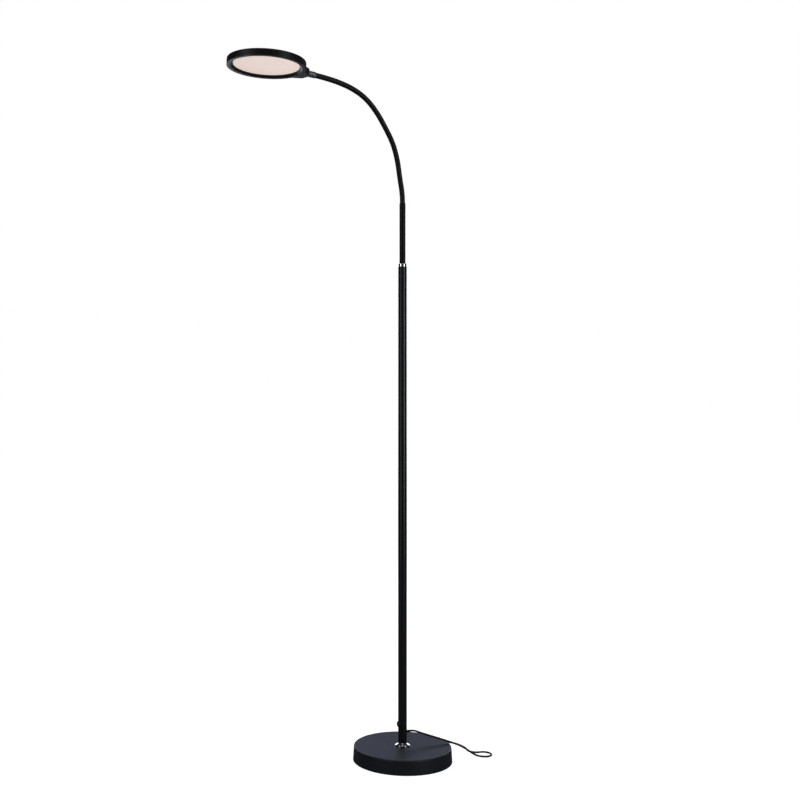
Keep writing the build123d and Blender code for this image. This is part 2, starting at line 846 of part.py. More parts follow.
with BuildPart() as cord_coil:
    with BuildLine() as winding:
        Line(coil_joint, coil_from)
        for (here, radius, height), (there, next_radius, next_height) in zip(stations, stations[1:]):
            biarc(
                coil_place(here, radius, height),
                station_heading(here),
                coil_place(there, next_radius, next_height),
                station_heading(there),
            )
        coil_to = coil_place(*stations[-1])
        leave_coil = station_heading(stations[-1][0])
        Line(coil_to, coil_to + leave_coil * (2 * cord_radius))
    with BuildSketch(Plane(origin=coil_joint, z_dir=coil_heading)):
        Circle(cord_radius)
    sweep()
write(cord_coil, "cord_coil")

coil_length = sum(edge.length for edge in winding.edges())
wire = winding.wires()[0]
sample_count = 900
samples = [wire.position_at(k / sample_count) for k in range(sample_count + 1)]
apart = int(sample_count * 2.5 * cord_radius * pi / coil_length) + 1
least = min(
    (samples[i] - samples[j]).length
    for i in range(len(samples))
    for j in range(i + apart, len(samples))
)
print(f"cord_coil: length {coil_length:.1f}, turns {(stations[0][0] - stations[-1][0]) / 360:.2f},",
      f"least gap {least - 2 * cord_radius:.2f},",
      f"volume ratio {cord_coil.part.volume / (coil_length * pi * cord_radius ** 2):.4f}")

# ================================================================ plug
tail_from = coil_to + leave_coil * (2 * cord_radius)
plug_line = Vector(-cos(radians(plug_heading)), sin(radians(plug_heading)), 0)
tail_route = [
    tuple(tail_from),
    tuple(tail_from + leave_coil * tail_run),
    tuple(tail_from + leave_coil * tail_run + plug_line * tail_run),
]
tail_length_run = cord_tube(tail_route, "cord_tail")
print(f"cord: {free_length + coil_length + tail_length_run:.0f} mm from strain relief to plug")

plug_tip = Vector(*tail_route[-1])
plug_plane = Plane(origin=plug_tip, x_dir=Vector(0, 0, 1).cross(plug_line), z_dir=plug_line)
with BuildPart() as plug_body:
    with BuildSketch(plug_plane):
        Circle(plug_relief_radius)
    with BuildSketch(plug_plane.offset(plug_relief)):
        RectangleRounded(plug_width * 0.5, plug_thickness * 0.75, plug_round)
    loft()
    with BuildSketch(plug_plane.offset(plug_relief)):
        RectangleRounded(plug_width * 0.5, plug_thickness * 0.75, plug_round)
    with BuildSketch(plug_plane.offset(plug_relief + plug_length * 0.45)):
        RectangleRounded(plug_width, plug_thickness, plug_round)
    loft()
    with BuildSketch(plug_plane.offset(plug_relief + plug_length * 0.45)):
        RectangleRounded(plug_width, plug_thickness, plug_round)
    extrude(amount=plug_length * 0.55)
    fillet(faces().sort_by(Axis(plug_tip, plug_line))[-1].edges(), 1.0)
write(plug_body, "plug_body")

with BuildPart() as plug_pins:
    with BuildSketch(plug_plane.offset(plug_relief + plug_length)):
        with Locations((pin_spacing / 2, 0), (-pin_spacing / 2, 0)):
            Circle(pin_radius)
    extrude(amount=pin_length)
    fillet(edges().group_by(Axis(plug_tip, plug_line))[-1], pin_radius * 0.6)
write(plug_pins, "plug_pins")

# ================================================================ places of the joints
for number, (place, along) in enumerate(zip(joints_at, directions)):
    print(f"joint {number}: {place.X:.3f} {place.Y:.3f} {place.Z:.3f} along {along.X:.5f} {along.Y:.5f} {along.Z:.5f}")
print("head centre", tuple(round(v, 3) for v in head_plane.origin), "up", tuple(round(v, 5) for v in head_plane.z_dir))
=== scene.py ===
"""Gooseneck reading floor lamp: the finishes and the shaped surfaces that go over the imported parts.

Everything is in metres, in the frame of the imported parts: the origin is on the floor under the pole, +Z is up, and the
neck bends in the XZ plane towards -X.
"""

import json
import logging
import math
from dataclasses import dataclass
from enum import Enum
from functools import cached_property
from typing import Any, Callable, Iterable, Union

import bmesh
import bpy
from mathutils import Matrix, Vector

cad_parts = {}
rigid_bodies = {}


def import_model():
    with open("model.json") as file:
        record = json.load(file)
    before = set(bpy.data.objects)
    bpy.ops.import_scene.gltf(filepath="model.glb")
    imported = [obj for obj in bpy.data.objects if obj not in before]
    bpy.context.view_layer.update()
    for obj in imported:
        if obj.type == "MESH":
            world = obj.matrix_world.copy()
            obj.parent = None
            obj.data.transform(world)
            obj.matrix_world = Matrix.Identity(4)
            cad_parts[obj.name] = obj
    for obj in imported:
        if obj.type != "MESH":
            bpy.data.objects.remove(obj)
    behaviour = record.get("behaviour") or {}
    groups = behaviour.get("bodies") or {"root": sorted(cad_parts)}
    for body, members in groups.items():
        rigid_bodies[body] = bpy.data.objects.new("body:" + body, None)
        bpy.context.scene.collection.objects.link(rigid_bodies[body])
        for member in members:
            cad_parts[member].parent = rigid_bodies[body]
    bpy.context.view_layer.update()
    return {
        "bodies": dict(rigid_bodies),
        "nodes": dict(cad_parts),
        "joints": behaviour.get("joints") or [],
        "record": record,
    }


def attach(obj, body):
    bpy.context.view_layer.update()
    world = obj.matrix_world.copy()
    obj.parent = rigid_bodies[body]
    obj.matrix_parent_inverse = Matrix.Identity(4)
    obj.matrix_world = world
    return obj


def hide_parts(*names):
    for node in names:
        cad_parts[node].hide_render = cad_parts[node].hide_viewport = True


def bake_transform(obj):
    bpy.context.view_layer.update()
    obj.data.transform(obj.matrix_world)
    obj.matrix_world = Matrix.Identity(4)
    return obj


log = logging.getLogger("floor_lamp")

Colour = tuple[float, float, float]
Point = tuple[float, float, float]
Outline = Callable[[float], tuple[float, float]]
MM = 0.001
MERGE = 1e-7
WHITE: Colour = (1.0, 1.0, 1.0)
ORIGIN: Point = (0.0, 0.0, 0.0)
UPWARD: Point = (0.0, 0.0, 1.0)
UP = Vector(UPWARD).freeze()
EAST = Vector((1.0, 0.0, 0.0)).freeze()


# ---- Shader graph ----
class Signal:
    """A value that travels through a material's nodes, so that shader maths reads as plain expressions."""

    def __init__(self, graph: "Graph", socket: bpy.types.NodeSocket) -> None:
        """Wrap one output."""
        self.graph = graph
        self.socket = socket

    def maths(self, operation: str, first: "Value", second: "Value" = 0.0) -> "Signal":
        """Add one Math node."""
        return self.graph.node("ShaderNodeMath", {"operation": operation}, {0: first, 1: second})

    def __add__(self, other: "Value") -> "Signal":
        """Sum of two values."""
        return self.maths("ADD", self, other)

    def __radd__(self, other: "Value") -> "Signal":
        """Sum, with the number first."""
        return self.maths("ADD", other, self)

    def __sub__(self, other: "Value") -> "Signal":
        """Difference of two values."""
        return self.maths("SUBTRACT", self, other)

    def __rsub__(self, other: "Value") -> "Signal":
        """Difference, with the number first."""
        return self.maths("SUBTRACT", other, self)

    def __mul__(self, other: "Value") -> "Signal":
        """Product of two values."""
        return self.maths("MULTIPLY", self, other)

    def __rmul__(self, other: "Value") -> "Signal":
        """Product, with the number first."""
        return self.maths("MULTIPLY", other, self)

    def wave(self) -> "Signal":
        """Sine of the value, brought between 0 and 1."""
        return self.maths("SINE", self) * 0.5 + 0.5

    def between(self, low: float, high: float) -> "Signal":
        """Smooth step of the value from 0 at one bound to 1 at the other.

        Args:
            low: The value that gives 0.
            high: The value that gives 1; it may be the smaller of the two.

        Returns:
            The stepped value.
        """
        near, far, start, end = (low, high, 0.0, 1.0) if low < high else (high, low, 1.0, 0.0)
        return self.graph.node(
            "ShaderNodeMapRange",
            {"interpolation_type": "SMOOTHSTEP", "clamp": True},
            {"Value": self, "From Min": near, "From Max": far, "To Min": start, "To Max": end},
        )


Value = Union[Signal, float]


class Graph:
    """The nodes of one procedural material, or of the world."""

    def __init__(self, owner: bpy.types.Material | bpy.types.World) -> None:
        """Start with an empty node tree.

        Args:
            owner: The material or the world.
        """
        self.owner = owner
        owner.use_nodes = True
        self.tree = owner.node_tree
        self.tree.nodes.clear()

    @cached_property
    def place(self) -> Signal:
        """The object's own coordinates."""
        return self.node("ShaderNodeTexCoord", output="Object")

    def node(
        self,
        kind: str,
        settings: dict[str, Any] | None = None,
        sockets: dict[Any, Any] | None = None,
        output: int | str = 0,
    ) -> Signal:
        """Add any node: its settings first, then the values or links of its sockets.

        Args:
            kind: The node's type.
            settings: The node's own properties.
            sockets: A value or a Signal for each input, by name or number.
            output: Which output to return, by name or number.

        Returns:
            The chosen output, or the first input of a node that has none.
        """
        made = self.tree.nodes.new(kind)
        for key, value in (settings or {}).items():
            setattr(made, key, value)
        for key, value in (sockets or {}).items():
            self.feed(made.inputs[key], value)
        return Signal(self, made.outputs[output] if made.outputs else made.inputs[0])

    def feed(self, socket: bpy.types.NodeSocket, value: Any) -> None:
        """Give an input a link, a number, or a colour or vector.

        Args:
            socket: The input.
            value: A Signal, a number or a tuple.
        """
        if isinstance(value, Signal):
            self.tree.links.new(value.socket, socket)
        elif isinstance(value, tuple) and len(value) == 3 and len(socket.default_value) == 4:
            socket.default_value = (*value, 1.0)
        else:
            socket.default_value = value

    def mix(self, mask: Value, first: Any, second: Any) -> Signal:
        """Blend two colours."""
        return self.node("ShaderNodeMix", {"data_type": "RGBA"}, {0: mask, 6: first, 7: second}, output=2)

    def vector(self, operation: str, first: Any, second: Any = ORIGIN, output: int | str = 0) -> Signal:
        """Add one Vector Math node."""
        return self.node("ShaderNodeVectorMath", {"operation": operation}, {0: first, 1: second}, output=output)

    def noise(self, scale: float, detail: float = 3.0, stretch: Point = (1.0, 1.0, 1.0), rough: float = 0.5) -> Signal:
        """Noise on the object's own coordinates.

        Args:
            scale: Features in a metre.
            detail: How many finer layers are added.
            stretch: Scale of the pattern along each axis.
            rough: Weight of the finer layers.

        Returns:
            A value about 0.5.
        """
        place = self.place if stretch == (1.0, 1.0, 1.0) else self.vector("MULTIPLY", self.place, stretch)
        return self.node(
            "ShaderNodeTexNoise",
            {"noise_dimensions": "3D"},
            {"Vector": place, "Scale": scale, "Detail": detail, "Roughness": rough},
        )

    def cells(self, scale: float, feature: str = "F1") -> Signal:
        """Voronoi distance on the object's own coordinates."""
        return self.node("ShaderNodeTexVoronoi", {"feature": feature}, {"Vector": self.place, "Scale": scale})

    def along(self, start: Point, axis: Point) -> Signal:
        """Distance along an axis, in metres."""
        return self.vector("DOT_PRODUCT", self.vector("SUBTRACT", self.place, start), axis, output="Value")

    def from_axis(self, start: Point, axis: Point) -> Signal:
        """Distance from an axis, in metres."""
        arm = self.vector("CROSS_PRODUCT", self.vector("SUBTRACT", self.place, start), axis)
        return self.vector("LENGTH", arm, output="Value")

    def close(self, shader: Signal, kind: str = "ShaderNodeOutputMaterial") -> None:
        """Join a shader to the output node."""
        self.node(kind, None, {"Surface": shader})

    def surface(self, sockets: dict[str, Any], height: Signal, depth: float) -> None:
        """Close the material with its shader and its bump."""
        bump = self.node("ShaderNodeBump", None, {"Strength": 1.0, "Distance": depth, "Height": height})
        self.close(self.node("ShaderNodeBsdfPrincipled", None, {**sockets, "Normal": bump}))


# ---- Finishes ----
class Grain(Enum):
    """Fine relief of a surface."""

    ORANGE_PEEL = "sprayed paint"
    CASTING = "sand casting"
    TURNED = "turned or drawn metal"
    ROLLED = "rolled and plated sheet"
    MOULDED = "spark-eroded mould"
    FOAM = "foam rubber"
    SHEATH = "extruded sheath"
    POLISH = "polished plating"


@dataclass(frozen=True)
class Finish:
    """A material with its colour variation, gloss variation and relief.

    Attributes:
        name: The material's name.
        slot: The record's material slot that it finishes.
        grain: Kind of relief.
        colour: Main colour.
        shade: Second colour, in soft patches.
        roughness: Middle of the roughness.
        spread: How far the roughness varies.
        scale: Features of the relief in a metre.
        depth: Depth of the relief in metres.
        metallic: 1 for bare metal.
        specular: Specular level.
        patches: Soft patches in a metre.
        marks: Share of the surface with handling marks.
    """

    name: str
    slot: str
    grain: Grain
    colour: Colour
    shade: Colour
    roughness: float
    spread: float
    scale: float
    depth: float
    metallic: float = 0.0
    specular: float = 0.5
    patches: float = 14.0
    marks: float = 0.0

    def relief(self, graph: Graph) -> Signal:
        """Height of the fine relief.

        Args:
            graph: The material being made.

        Returns:
            The height, from 0 to 1.
        """
        makers: dict[Grain, Callable[[], Signal]] = {
            Grain.ORANGE_PEEL: lambda: graph.noise(self.scale, 2.0),
            Grain.CASTING: lambda: graph.noise(self.scale, 5.0, rough=0.7)
            * (1.0 - graph.cells(self.scale * 0.4) * 0.4),
            Grain.TURNED: lambda: (graph.along(ORIGIN, UPWARD) * self.scale).wave()
            * graph.noise(self.scale * 0.05, 2.0),
            Grain.ROLLED: lambda: graph.noise(self.scale, 3.0, stretch=(0.08, 1.0, 1.0)),
            Grain.MOULDED: lambda: graph.noise(self.scale, 4.0, rough=0.65),
            Grain.FOAM: lambda: graph.cells(self.scale, "SMOOTH_F1"),
            Grain.SHEATH: lambda: graph.noise(self.scale, 2.0) * 0.6 + graph.noise(self.scale * 0.1, 2.0) * 0.4,
            Grain.POLISH: lambda: graph.noise(self.scale, 1.0),
        }
        return makers[self.grain]()

    def tint(self, graph: Graph, colour: Signal) -> Signal:
        """Change the colour where this finish has a feature of its own; a plain finish has none."""
        return colour

    def gloss(self, graph: Graph, roughness: Signal) -> Signal:
        """Change the roughness where this finish has a feature of its own; a plain finish has none."""
        return roughness

    def extras(self, graph: Graph) -> dict[str, Any]:
        """Further sockets of the shader; a plain finish has none."""
        return {}

    def build(self) -> bpy.types.Material:
        """Make the material.

        Returns:
            The finished material.
        """
        graph = Graph(bpy.data.materials.new(self.name))
        patches = graph.noise(self.patches, 4.0)
        smudges = graph.noise(self.patches * 4.3, 5.0, rough=0.6).between(0.62 - self.marks * 0.2, 0.74)
        relief = self.relief(graph)
        mottle = patches * 0.75 + relief * 0.25
        colour = self.tint(graph, graph.mix(mottle.between(0.3, 0.7), self.colour, self.shade))
        roughness = patches * self.spread + (self.roughness - self.spread * 0.5) + smudges * (self.marks * 0.2)
        sockets = {
            "Base Color": colour,
            "Roughness": self.gloss(graph, roughness),
            "Metallic": self.metallic,
            "Specular IOR Level": self.specular,
            **self.extras(graph),
        }
        graph.surface(sockets, relief, self.depth)
        return graph.owner


@dataclass(frozen=True)
class WoundFinish(Finish):
    """Black coated wound tube of the neck, a little greyer in rubbed patches.

    Attributes:
        worn: Colour where the coating is rubbed.
        worn_scale: Rubbed patches in a metre.
        wear: How far that colour comes through.
    """

    worn: Colour = (0.03, 0.03, 0.032)
    worn_scale: float = 60.0
    wear: float = 0.5

    def tint(self, graph: Graph, colour: Signal) -> Signal:
        """Lighten the rubbed places."""
        rubbed = graph.noise(self.worn_scale, 4.0).between(0.52, 0.7) * self.wear
        return graph.mix(rubbed, colour, self.worn)


@dataclass(frozen=True)
class HeadFinish(Finish):
    """A finish that changes with the distance from the head's axis.

    Attributes:
        centre: Centre of the head's underside.
        axis: Upward axis of the head.
    """

    centre: Point = (-0.367823, 0.000237, 1.554215)
    axis: Point = (0.05057, -0.02792, 0.99833)

    def reach(self, graph: Graph) -> Signal:
        """Distance from the head's axis."""
        return graph.from_axis(self.centre, self.axis)


@dataclass(frozen=True)
class BezelFinish(HeadFinish):
    """Underside ring of the head, with a warm thin line of painted light where its cone meets the window: the window's
    glow painted into the bezel's colour.

    Attributes:
        line_at: Radius of the warm line, painted light of the window's glow.
        line: Its colour, the colour of that painted light.
    """

    line_at: float = 0.0726
    line: Colour = (0.30, 0.19, 0.14)

    def tint(self, graph: Graph, colour: Signal) -> Signal:
        """Paint the window's glow on the cone's inner edge, as painted light."""
        # Painted light: a warm band of the window's glow laid into the colour at the cone's inner edge.
        near = self.reach(graph).between(self.line_at + 1.1 * MM, self.line_at - 0.3 * MM)
        return graph.mix(near, colour, self.line)


@dataclass(frozen=True)
class WindowFinish(HeadFinish):
    """Frosted window with a fine grid of dots, as of a light guide behind it.

    Attributes:
        radius: Radius of the window.
        glow: Colour of its soft glow.
        power: Strength of that glow.
        dot_pitch: Distance between dots.
        dot_tint: How far the second colour shows on a dot.
        dot_dim: How far the glow drops on a dot.
        edge: Colour of the pale rim.
        edge_weight: How far that colour shows.
    """

    radius: float = 0.072
    glow: Colour = (1.0, 0.82, 0.735)
    power: float = 0.70
    dot_pitch: float = 3.2 * MM
    dot_tint: float = 0.35
    dot_dim: float = 0.25
    edge: Colour = (0.95, 0.90, 0.86)
    edge_weight: float = 0.6

    def dots(self, graph: Graph) -> Signal:
        """Grid of dots in the window's plane.

        Args:
            graph: The material being made.

        Returns:
            1 on a dot and 0 between them.
        """
        turns = 2.0 * math.pi / self.dot_pitch
        first = (graph.along(self.centre, (0.8192, 0.5736, 0.0)) * turns).wave()
        second = (graph.along(self.centre, (-0.5736, 0.8192, 0.0)) * turns).wave()
        return (first * second).between(0.45, 0.85)

    def tint(self, graph: Graph, colour: Signal) -> Signal:
        """Add the dots and the paler rim.

        Args:
            graph: The material being made.
            colour: The colour so far.

        Returns:
            The colour to use.
        """
        dotted = graph.mix(self.dots(graph) * self.dot_tint, colour, self.shade)
        rim = self.reach(graph).between(self.radius - 3.0 * MM, self.radius - 1.0 * MM)
        return graph.mix(rim * self.edge_weight, dotted, self.edge)

    def extras(self, graph: Graph) -> dict[str, Any]:
        """Give the window its glow, a little less on the dots and at the far edge.

        Args:
            graph: The material being made.

        Returns:
            The sockets.
        """
        reach = graph.along(self.centre, (-0.794, 0.608, 0.0)).between(-self.radius, self.radius)
        base = graph.mix(reach, self.glow, tuple(0.90 * c for c in self.glow))
        glow = graph.mix(self.dots(graph) * self.dot_dim, base, tuple(0.8 * c for c in self.glow))
        return {"Emission Color": glow, "Emission Strength": self.power}


@dataclass(frozen=True)
class PinFinish(Finish):
    """Plug pins: glossy plating, not given as metal, with a black sleeve next to the plug's body.

    Attributes:
        root: Centre of the plug's front face.
        axis: Direction in which the pins point.
        sleeve: Length of the sleeve.
        sleeve_colour: Its colour.
        sleeve_dull: How much rougher it is than the plating.
    """

    root: Point = ORIGIN
    axis: Point = (1.0, 0.0, 0.0)
    sleeve: float = 10.0 * MM
    sleeve_colour: Colour = (0.012, 0.012, 0.013)
    sleeve_dull: float = 0.2

    def sleeved(self, graph: Graph) -> Signal:
        """Mask of the sleeve."""
        return graph.along(self.root, self.axis).between(self.sleeve + 0.1 * MM, self.sleeve - 0.1 * MM)

    def tint(self, graph: Graph, colour: Signal) -> Signal:
        """Blacken the sleeve."""
        return graph.mix(self.sleeved(graph), colour, self.sleeve_colour)

    def gloss(self, graph: Graph, roughness: Signal) -> Signal:
        """Dull the sleeve."""
        return roughness + self.sleeved(graph) * self.sleeve_dull


@dataclass(frozen=True)
class StripFinish(HeadFinish):
    """White board with yellow emitters on its inner side.

    Attributes:
        board_at: Radius of the board's inner face.
        emitter: Colour of the emitters.
    """

    board_at: float = 0.075
    emitter: Colour = (0.78, 0.60, 0.12)

    def tint(self, graph: Graph, colour: Signal) -> Signal:
        """Colour what stands inside the board."""
        inside = self.reach(graph).between(self.board_at, self.board_at - 0.1 * MM)
        return graph.mix(inside, colour, self.emitter)


# ---- Shaping ----
class Shaper:
    """A mesh in the making, with the shaping steps that several pieces use."""

    def __init__(self) -> None:
        """Start an empty mesh."""
        self.mesh = bmesh.new()

    def turn(self, profile: Iterable[tuple[float, float]], axis: Matrix, steps: int) -> None:
        """Spin a closed profile fully about an axis.

        Args:
            profile: Points as (radius, distance along the axis).
            axis: Frame whose Z is the axis and whose X is the first radius.
            steps: Sides of the turned shape.
        """
        corners = [self.mesh.verts.new(axis @ Vector((r, 0.0, z))) for r, z in profile]
        edges = [self.mesh.edges.new((a, b)) for a, b in zip(corners, corners[1:] + corners[:1])]
        bmesh.ops.spin(
            self.mesh,
            geom=corners + edges,
            cent=axis.translation,
            axis=axis.to_3x3() @ UP,
            angle=2.0 * math.pi,
            steps=steps,
            use_merge=True,
            use_duplicate=False,
        )
        bmesh.ops.remove_doubles(self.mesh, verts=self.mesh.verts, dist=MERGE)

    def loft(
        self, sections: list[tuple[Matrix, Outline]], sides: int
    ) -> tuple[list[bmesh.types.BMEdge], list[bmesh.types.BMEdge]]:
        """Extrude a ring from section to section.

        Args:
            sections: Frame and shape of each section, in order.
            sides: Points in each ring.

        Returns:
            The first and the last ring's edges.
        """
        made = bmesh.ops.create_circle(self.mesh, cap_ends=False, radius=1.0, segments=sides)
        ring = list({edge for vert in made["verts"] for edge in vert.link_edges})
        first = ring
        angles = {vert: math.atan2(vert.co.y, vert.co.x) for vert in made["verts"]}
        for number, (place, shape) in enumerate(sections):
            if number:
                grown = bmesh.ops.extrude_edge_only(self.mesh, edges=ring)["geom"]
                ring = [part for part in grown if isinstance(part, bmesh.types.BMEdge)]
                fresh = [part for part in grown if isinstance(part, bmesh.types.BMVert)]
                angles = {vert: self.parent_angle(vert, angles) for vert in fresh}
            for vert, angle in angles.items():
                x, y = shape(angle)
                vert.co = place @ Vector((x, y, 0.0))
        return first, ring

    @staticmethod
    def parent_angle(vert: bmesh.types.BMVert, angles: dict[bmesh.types.BMVert, float]) -> float:
        """Angle of the point that a fresh point was extruded from."""
        return next(angles[edge.other_vert(vert)] for edge in vert.link_edges if edge.other_vert(vert) in angles)

    def cap(self, ring: list[bmesh.types.BMEdge]) -> None:
        """Close a ring with one face."""
        bmesh.ops.contextual_create(self.mesh, geom=ring)

    def close_wall(self) -> None:
        """Merge doubled points and turn every face outwards."""
        bmesh.ops.remove_doubles(self.mesh, verts=self.mesh.verts, dist=MERGE)
        bmesh.ops.recalc_face_normals(self.mesh, faces=self.mesh.faces)

    def finish(self, name: str, crease: float = 35.0) -> bpy.types.Object:
        """Turn the mesh into an object at the origin.

        Args:
            name: The piece's name.
            crease: Faces that meet at more than this many degrees keep a sharp edge.

        Returns:
            The new object.
        """
        self.close_wall()
        data = bpy.data.meshes.new(name)
        self.mesh.to_mesh(data)
        self.mesh.free()
        data.shade_smooth()
        data.set_sharp_from_angle(angle=math.radians(crease))
        piece = bpy.data.objects.new(name, data)
        bpy.context.scene.collection.objects.link(piece)
        return piece


def frame_along(origin: Vector, along: Vector, side: Vector) -> Matrix:
    """Frame whose Z follows a direction.

    Args:
        origin: The frame's place.
        along: Its Z direction.
        side: A direction near its X.

    Returns:
        The frame as a 4 by 4 matrix.
    """
    z = along.normalized()
    x = (side - z * side.dot(z)).normalized()
    y = z.cross(x)
    turn = Matrix((x, y, z)).transposed().to_4x4()
    return Matrix.Translation(origin) @ turn


def polar(radius: float, angle: float) -> tuple[float, float]:
    """Point at a distance from the middle and an angle in radians."""
    return radius * math.cos(angle), radius * math.sin(angle)


def rounded_box(half_width: float, half_height: float, power: float) -> Outline:
    """Section between an ellipse and a rounded rectangle.

    Args:
        half_width: Half of the section's width.
        half_height: Half of its height.
        power: 2 for an ellipse, more for squarer corners.

    Returns:
        A function from an angle to the section's point.
    """

    bow = 2.0 / power

    def at(angle: float) -> tuple[float, float]:
        """Point of the section at an angle about its middle."""
        c, s = math.cos(angle), math.sin(angle)
        return half_width * math.copysign(abs(c) ** bow, c), half_height * math.copysign(abs(s) ** bow, s)

    return at


# ---- Sub-assemblies ----
@dataclass
class SubAssembly:
    """Shared work of every sub-assembly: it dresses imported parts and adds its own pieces.

    Attributes:
    """

    frame: dict[str, Any]

    def dress(self, finish: Finish, *nodes: str) -> None:
        """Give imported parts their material.

        Args:
            finish: The finish.
            nodes: The parts' names.
        """
        material = finish.build()
        for name in nodes:
            node = self.frame["nodes"][name]
            if not node.material_slots:
                node.data.materials.append(material)
            for slot in node.material_slots:
                slot.material = material
            log.info("%s: %s", name, finish.name)

    def add(
        self, piece: bpy.types.Object, material: bpy.types.Material, slot: str, body: str | None, *replaced: str
    ) -> bpy.types.Object:
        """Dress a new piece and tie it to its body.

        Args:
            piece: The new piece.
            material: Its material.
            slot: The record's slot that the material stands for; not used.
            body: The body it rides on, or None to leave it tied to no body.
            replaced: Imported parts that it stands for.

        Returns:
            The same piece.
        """
        piece.data.materials.append(material)
        if body is not None:
            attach(piece, body)
        if replaced:
            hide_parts(*replaced)
        log.info("%s: %s", piece.name, material.name)
        return piece


@dataclass
class Base(SubAssembly):
    """Weighted round base with its chrome collar, bottom plate, screws and pad.

    Attributes:
        screw_circle: Distance of each screw from the pole's axis.
        screw_count: How many screws hold the plate.
        head_radius: Radius of a screw's head.
        head_low: Height of the head's outer face above the floor.
        head_high: Height of its seat on the plate.
        shank_radius: Radius of a screw's shank.
        shank_high: Height of the shank's end.
    """

    screw_circle: float = 84.0 * MM
    screw_count: int = 3
    head_radius: float = 4.0 * MM
    head_low: float = 0.6 * MM
    head_high: float = 3.0 * MM
    shank_radius: float = 2.0 * MM
    shank_high: float = 15.5 * MM
    cover: Finish = Finish(
        "base_satin_paint", "base_paint", Grain.ORANGE_PEEL, (0.0130, 0.0155, 0.0215), (0.0155, 0.0185, 0.0250),
        0.48, 0.06, 700.0, 0.00002, patches=9.0, marks=0.3,
    )
    chrome: Finish = Finish(
        "bright_chrome", "chrome", Grain.POLISH, (0.78, 0.79, 0.81), (0.70, 0.71, 0.74),
        0.07, 0.04, 300.0, 0.000004, metallic=1.0, patches=60.0, marks=0.4,
    )
    zinc: Finish = Finish(
        "zinc_plate", "steel", Grain.ROLLED, (0.50, 0.51, 0.50), (0.40, 0.41, 0.42),
        0.38, 0.12, 900.0, 0.00002, metallic=1.0, patches=30.0, marks=0.5,
    )
    iron: Finish = Finish(
        "raw_iron_casting", "iron", Grain.CASTING, (0.11, 0.11, 0.12), (0.17, 0.155, 0.15),
        0.72, 0.14, 260.0, 0.0003, metallic=0.55, patches=22.0,
    )
    pad: Finish = Finish(
        "foam_rubber", "pad", Grain.FOAM, (0.020, 0.020, 0.022), (0.034, 0.034, 0.036),
        0.90, 0.06, 900.0, 0.00015, specular=0.25, patches=25.0,
    )

    def screws(self) -> None:
        """Make the three plate screws, each with a rounded head and a cross recess, as one piece."""
        shaper = Shaper()
        for number in range(self.screw_count):
            angle = 2.0 * math.pi * number / self.screw_count
            middle = Vector((*polar(self.screw_circle, angle), 0.0))
            self.screw(shaper, middle)
        piece = shaper.finish("plate_screws", 30.0)
        self.add(piece, self.zinc.build(), self.zinc.slot, "base", "base_screws")

    def screw(self, shaper: Shaper, middle: Vector) -> None:
        """Add one screw.

        Args:
            shaper: The mesh that gets it.
            middle: The screw's axis on the floor.
        """
        arm, slot_width, recess = 2.1 * MM, 0.42 * MM, 1.3 * MM
        corners = [
            (x * c - y * s, x * s + y * c)
            for c, s in ((1, 0), (0, 1), (-1, 0), (0, -1))
            for x, y in ((arm, -slot_width), (arm, slot_width), (slot_width, slot_width))
        ]

        def cross(scale: float) -> Outline:
            """Outline of the recess, as a plus sign of 12 corners."""
            return lambda angle: tuple(scale * v for v in corners[round(math.degrees(angle) / 30.0) % 12])

        def disc(radius: float) -> Outline:
            """Round outline of a radius."""
            return rounded_box(radius, radius, 2.0)

        def level(height: float) -> Matrix:
            """Section of the screw at a height."""
            return frame_along(middle + UP * height, UP, EAST)

        crown = self.head_low
        floor_ring, rim = shaper.loft([(level(crown + recess), cross(0.7)), (level(crown), cross(1.0))], 12)
        shaper.cap(floor_ring)
        outer = [
            (level(crown), disc(self.head_radius * 0.72)),
            (level(crown + 0.35 * MM), disc(self.head_radius * 0.90)),
            (level(crown + 0.9 * MM), disc(self.head_radius)),
            (level(self.head_high), disc(self.head_radius)),
            (level(self.head_high), disc(self.shank_radius)),
            (level(self.shank_high - 1.0 * MM), disc(self.shank_radius)),
            (level(self.shank_high), disc(self.shank_radius * 0.6)),
        ]
        start, end = shaper.loft(outer, 24)
        shaper.cap(end)
        bmesh.ops.bridge_loops(shaper.mesh, edges=rim + start)

    def build(self) -> None:
        """Dress the base and make its screws."""
        self.dress(self.cover, "base_cover")
        self.dress(self.chrome, "base_collar", "top_ring")
        self.dress(self.iron, "base_weight")
        self.dress(self.pad, "floor_pad")
        self.dress(
            self.zinc, "base_plate", "pole_washer", "pole_bolt", "pole_foot_plug", "coupler_lower",
            "coupler_upper", "neck_nut",
        )
        self.screws()


